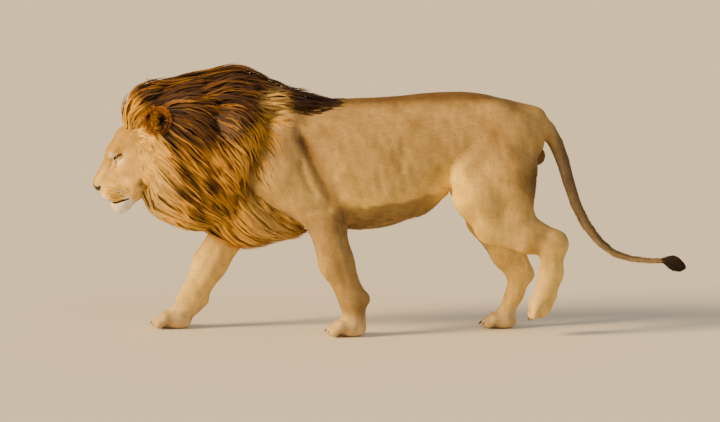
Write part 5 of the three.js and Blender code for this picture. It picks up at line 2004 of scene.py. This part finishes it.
# %% Claws
CLAW_SIDES, CLAW_RINGS = 8, 7
CLAW_LENGTH, CLAW_RADIUS = 21.0, 3.6


def claw(root, direction, droop):
    """Vertices and faces of one curved, pointed claw."""
    share = np.linspace(0, 1, CLAW_RINGS)
    direction = unit(np.array(direction, float))
    path = np.array(root) + direction * (share * CLAW_LENGTH)[:, None]
    path = path - np.outer(droop * share ** 2, (0, 0, 1))
    side = unit(np.cross(direction, (0, 0, 1)))
    rise = np.cross(side, direction)
    phi = 2 * math.pi * np.arange(CLAW_SIDES) / CLAW_SIDES
    ring = 0.62 * np.cos(phi)[:, None] * side + np.sin(phi)[:, None] * rise
    radius = CLAW_RADIUS * (1 - share ** 1.6) ** 0.8 + 0.25
    points = (path[:, None] + ring[None] * radius[:, None, None]).reshape(-1, 3)
    faces = [tuple(range(CLAW_SIDES)), tuple(reversed(range(len(points) - CLAW_SIDES, len(points))))]
    for i in range(CLAW_RINGS - 1):
        for k in range(CLAW_SIDES):
            a, n = i * CLAW_SIDES, (k + 1) % CLAW_SIDES
            faces.append((a + k, a + n, a + CLAW_SIDES + n, a + CLAW_SIDES + k))
    return points, faces


def claws_of(name, toes):
    points, faces, start = [], [], 0
    for root, direction, droop in toes:
        more, ring_faces = claw(root, direction, droop)
        faces += [tuple(start + v for v in face) for face in ring_faces]
        points.append(more)
        start += len(more)
    mesh = mesh_of(name, to_frame(np.concatenate(points)), faces)
    outwards(mesh)
    mesh.shade_smooth()
    return add_object(mesh, claw_horn)


def standing_toes(x, y, length, width, _, tip):
    """Each claw's root, direction and droop, for the paw of the same sizes."""
    return [((x - reach - 9, y + place * width / 4.1, tip + 12), (-1, 0, -0.35), 6)
            for place, reach in toe_reaches(length, length * OUTER_TOE)]


def hanging_toes(x, y, z):
    return [((x - reach - 7, y + place * 25, z - 52), (-0.62, 0, -1), 0)
            for place, reach in toe_reaches(HANGING_REACH, HANGING_OUTER)]


TOES = {
    "claws_fore_left": standing_toes(FORE_LEFT["paw"], LEFT * STANCE, *FORE_PAW),
    "claws_fore_right": standing_toes(FORE_RIGHT["paw"], RIGHT * STANCE, *FORE_PAW),
    "claws_hind_right": standing_toes(*HIND_RIGHT_FOOT, *HIND_PAW),
    "claws_hind_left": hanging_toes(*HIND_LEFT_FOOT),
}
claw_pieces = [claws_of(name, toes) for name, toes in TOES.items()]
print("claws:", sum(len(toes) for toes in TOES.values()))

# %% [markdown]
# ## Whiskers
#
# Whiskers grow from the rows of dark spots on the upper lip. Geometry Nodes put one curved, tapering
# hair on each spot: the points carry the direction and the length, and the tree holds the shape of a
# hair, so that one change of an input changes them all.

# %% A tree for whiskers
TYPICAL_WHISKER = 90 * MM
WHISKER_INPUTS = {"Root radius": 0.55 * MM, "Curl": 0.22}


def whisker_tree():
    tree = bpy.data.node_groups.new("whiskers on spots", "GeometryNodeTree")
    face = tree.interface
    face.new_socket("Geometry", in_out="INPUT", socket_type="NodeSocketGeometry")
    identifiers = {}
    for name, value in WHISKER_INPUTS.items():
        socket = face.new_socket(name, in_out="INPUT", socket_type="NodeSocketFloat")
        socket.default_value = value
        identifiers[name] = socket.identifier
    face.new_socket("Geometry", in_out="OUTPUT", socket_type="NodeSocketGeometry")
    given = add(tree, "NodeGroupInput")
    bend = add(tree, "ShaderNodeCombineXYZ", [(0, 0.0), (2, 0.5)], [(1, given, "Curl")])
    end = add(tree, "ShaderNodeCombineXYZ", [(0, 0.0), (1, 0.0), (2, 1.0)])
    curve = add(tree, "GeometryNodeCurveQuadraticBezier", [("Resolution", 8), ("Start", (0, 0, 0))],
                [("Middle", bend, 0), ("End", end, 0)])
    along = add(tree, "GeometryNodeSplineParameter")
    taper = add(tree, "ShaderNodeMapRange", span(0.0, 1.0, 1.0, 0.12), [("Value", along, "Factor")])
    ring = add(tree, "GeometryNodeCurvePrimitiveCircle", [("Resolution", 5), ("Radius", 1.0)])
    radius = add(tree, "ShaderNodeMath", [("operation", "MULTIPLY")],
                 [(0, taper, 0), (1, given, "Root radius")])
    # a whisker is drawn one unit long and then scaled, so its radius is divided by a typical length
    wide = add(tree, "ShaderNodeMath", [("operation", "DIVIDE"), (1, TYPICAL_WHISKER)], [(0, radius, 0)])
    hair_mesh = add(tree, "GeometryNodeCurveToMesh", [("Fill Caps", True)],
                    [("Curve", curve, 0), ("Profile Curve", ring, 0), ("Scale", wide, 0)])
    turn = add(tree, "GeometryNodeInputNamedAttribute",
               [("data_type", "QUATERNION"), ("Name", "whisker_turn")])
    length = add(tree, "GeometryNodeInputNamedAttribute",
                 [("data_type", "FLOAT"), ("Name", "whisker_length")])
    copies = add(tree, "GeometryNodeInstanceOnPoints", (),
                 [("Points", given, "Geometry"), ("Instance", hair_mesh, 0), ("Rotation", turn, 0),
                  ("Scale", length, 0)])
    real = add(tree, "GeometryNodeRealizeInstances", (), [("Geometry", copies, 0)])
    finished = add(tree, "GeometryNodeSetMaterial", [("Material", whisker_hair)], [("Geometry", real, 0)])
    add(tree, "NodeGroupOutput", (), [("Geometry", finished, 0)])
    return tree, identifiers


tree, identifiers = whisker_tree()
print("the tree's inputs:", identifiers)

# %% Whiskers
WHISKERS = 14  # on each side
WHISKER_LENGTHS = (62.0, 110.0)


def on_face(a, b):
    """How far aside the head's surface is at (ahead, up), by halving."""
    low, high = np.zeros(len(a)), np.full(len(a), 90.0)
    for _ in range(18):
        mid = (low + high) / 2
        inside = head_field(np.stack([a, mid, b], 1)) < 0
        low, high = np.where(inside, mid, low), np.where(inside, high, mid)
    return low


def whiskers(name, side):
    places = np.array([p for p in WHISKER_SPOTS if p[0] < 92])
    a, b = places[rng.permutation(len(places))[:WHISKERS]].T
    roots = np.stack([a, side * (on_face(a, b) - 1.0), b], 1)
    back, down = -0.55 + rng.normal(0, 0.12, len(a)), -0.30 + rng.normal(0, 0.15, len(a))
    ways = along_head(unit(np.stack([back, side * np.ones(len(a)), down], 1)))
    turns = np.array([tuple(Vector(way).to_track_quat("Z", "Y")) for way in ways])
    mesh = mesh_of(name, to_frame(from_head(roots)))
    mesh.attributes.new("whisker_turn", "QUATERNION", "POINT").data.foreach_set("value", turns.ravel())
    set_numbers(mesh, "whisker_length", rng.uniform(*WHISKER_LENGTHS, len(a)) * MM)
    source = add_object(mesh)
    source.name = f"roots_of_{name}"
    modifier = source.modifiers.new("whiskers", "NODES")
    modifier.node_group = tree
    for key, value in WHISKER_INPUTS.items():
        modifier[identifiers[key]] = value
    evaluated = source.evaluated_get(bpy.context.evaluated_depsgraph_get())
    grown = bpy.data.meshes.new_from_object(evaluated)
    source.modifiers.remove(modifier)
    bpy.data.objects.remove(source)
    bpy.data.meshes.remove(mesh)
    grown.name = name
    outwards(grown)
    print(f"{name}: {len(a)} hairs, {triangles_in(grown)} triangles")
    return add_object(grown)


whisker_pieces = [whiskers(f"whiskers_{word}", side) for side, word in SIDES]

# %% [markdown]
# ## Floor, light and camera
#
# The light is a low, warm sun's: one large soft lamp from the front left, a faint one from the other
# side, and a pale surround. The camera stands well back on the animal's left and a little above it.

# %% Floor
FLOOR_HALF = 40.0
floor_corners = np.array([(-1, -1, 0), (1, -1, 0), (1, 1, 0), (-1, 1, 0)]) * FLOOR_HALF
floor_material, floor_tree = new_material("pale matt floor")
floor_surface = add(floor_tree, "ShaderNodeBsdfPrincipled",
                    [("Base Color", (*linear("#e3d9c6"), 1.0)), ("Roughness", 0.9)])
add(floor_tree, "ShaderNodeOutputMaterial", (), [("Surface", floor_surface, 0)])
add_object(mesh_of("floor", floor_corners, [(0, 1, 2, 3)]), floor_material)
print("floor:", 2 * FLOOR_HALF, "m square")

# %% Lamps and surround
LAMPS = [
    # name, direction it shines from, half angle in degrees, strength, colour
    ("key", (-7.4, -2.8, 4.0), 10.0, 7.6, "#ffdca2"),
    ("fill", (4.0, -6.0, 4.0), 30.0, 0.5, "#f3f1f4"),
]
AIM = Vector((-0.127, 0.0, 0.526))
for name, place, half_angle, strength, code in LAMPS:
    lamp = bpy.data.lights.new(name, "SUN")
    lamp.angle, lamp.energy, lamp.color = math.radians(2 * half_angle), strength, linear(code)
    holder = bpy.data.objects.new(name, lamp)
    holder.location = place
    holder.rotation_euler = (AIM - Vector(place)).to_track_quat("-Z", "Y").to_euler()
    bpy.context.scene.collection.objects.link(holder)
world = bpy.data.worlds.new("studio")
world.use_nodes = True
world.node_tree.nodes["Background"].inputs["Color"].default_value = (*linear("#f4efe6"), 1.0)
world.node_tree.nodes["Background"].inputs["Strength"].default_value = 0.5
bpy.context.scene.world = world
print("lamps:", [row[0] for row in LAMPS])

# %% Camera
CAMERA_RANGE, CAMERA_RISE = 18.0, math.radians(7)
SENSOR, LENS = 36.0, 209.3  # mm; the lens takes in 3.1 m at the animal
camera = bpy.data.cameras.new("camera")
camera.sensor_width, camera.lens = SENSOR, LENS
camera.clip_end = 200.0
camera_object = bpy.data.objects.new("camera", camera)
camera_object.location = AIM + CAMERA_RANGE * Vector((0, -math.cos(CAMERA_RISE), math.sin(CAMERA_RISE)))
camera_object.rotation_euler = (AIM - camera_object.location).to_track_quat("-Z", "Y").to_euler()
bpy.context.scene.collection.objects.link(camera_object)
bpy.context.scene.camera = camera_object
print("camera at", [round(v, 2) for v in camera_object.location])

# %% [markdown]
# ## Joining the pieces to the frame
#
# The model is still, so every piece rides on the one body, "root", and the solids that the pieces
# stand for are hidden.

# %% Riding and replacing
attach(skin, "root")
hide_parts(*FLESH_NODES)
for title, piece in coat_pieces.items():
    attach(piece, "root")
for piece, node in mane_pieces:
    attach(piece, "root")
    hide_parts(node)
single = [(tail_tuft, "tail_tuft", "tuft"), *((eye, f"eye_{word}", "eye") for word, eye in eyes.items()),
          (nose_pad, "nose", "nose")]
for piece, node, slot in single:
    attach(piece, "root")
    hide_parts(node)
for piece in [*claw_pieces, *whisker_pieces]:
    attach(piece, "root")
groups = (coat_pieces, mane_pieces, single, claw_pieces, whisker_pieces)
print("pieces:", 1 + sum(len(group) for group in groups))
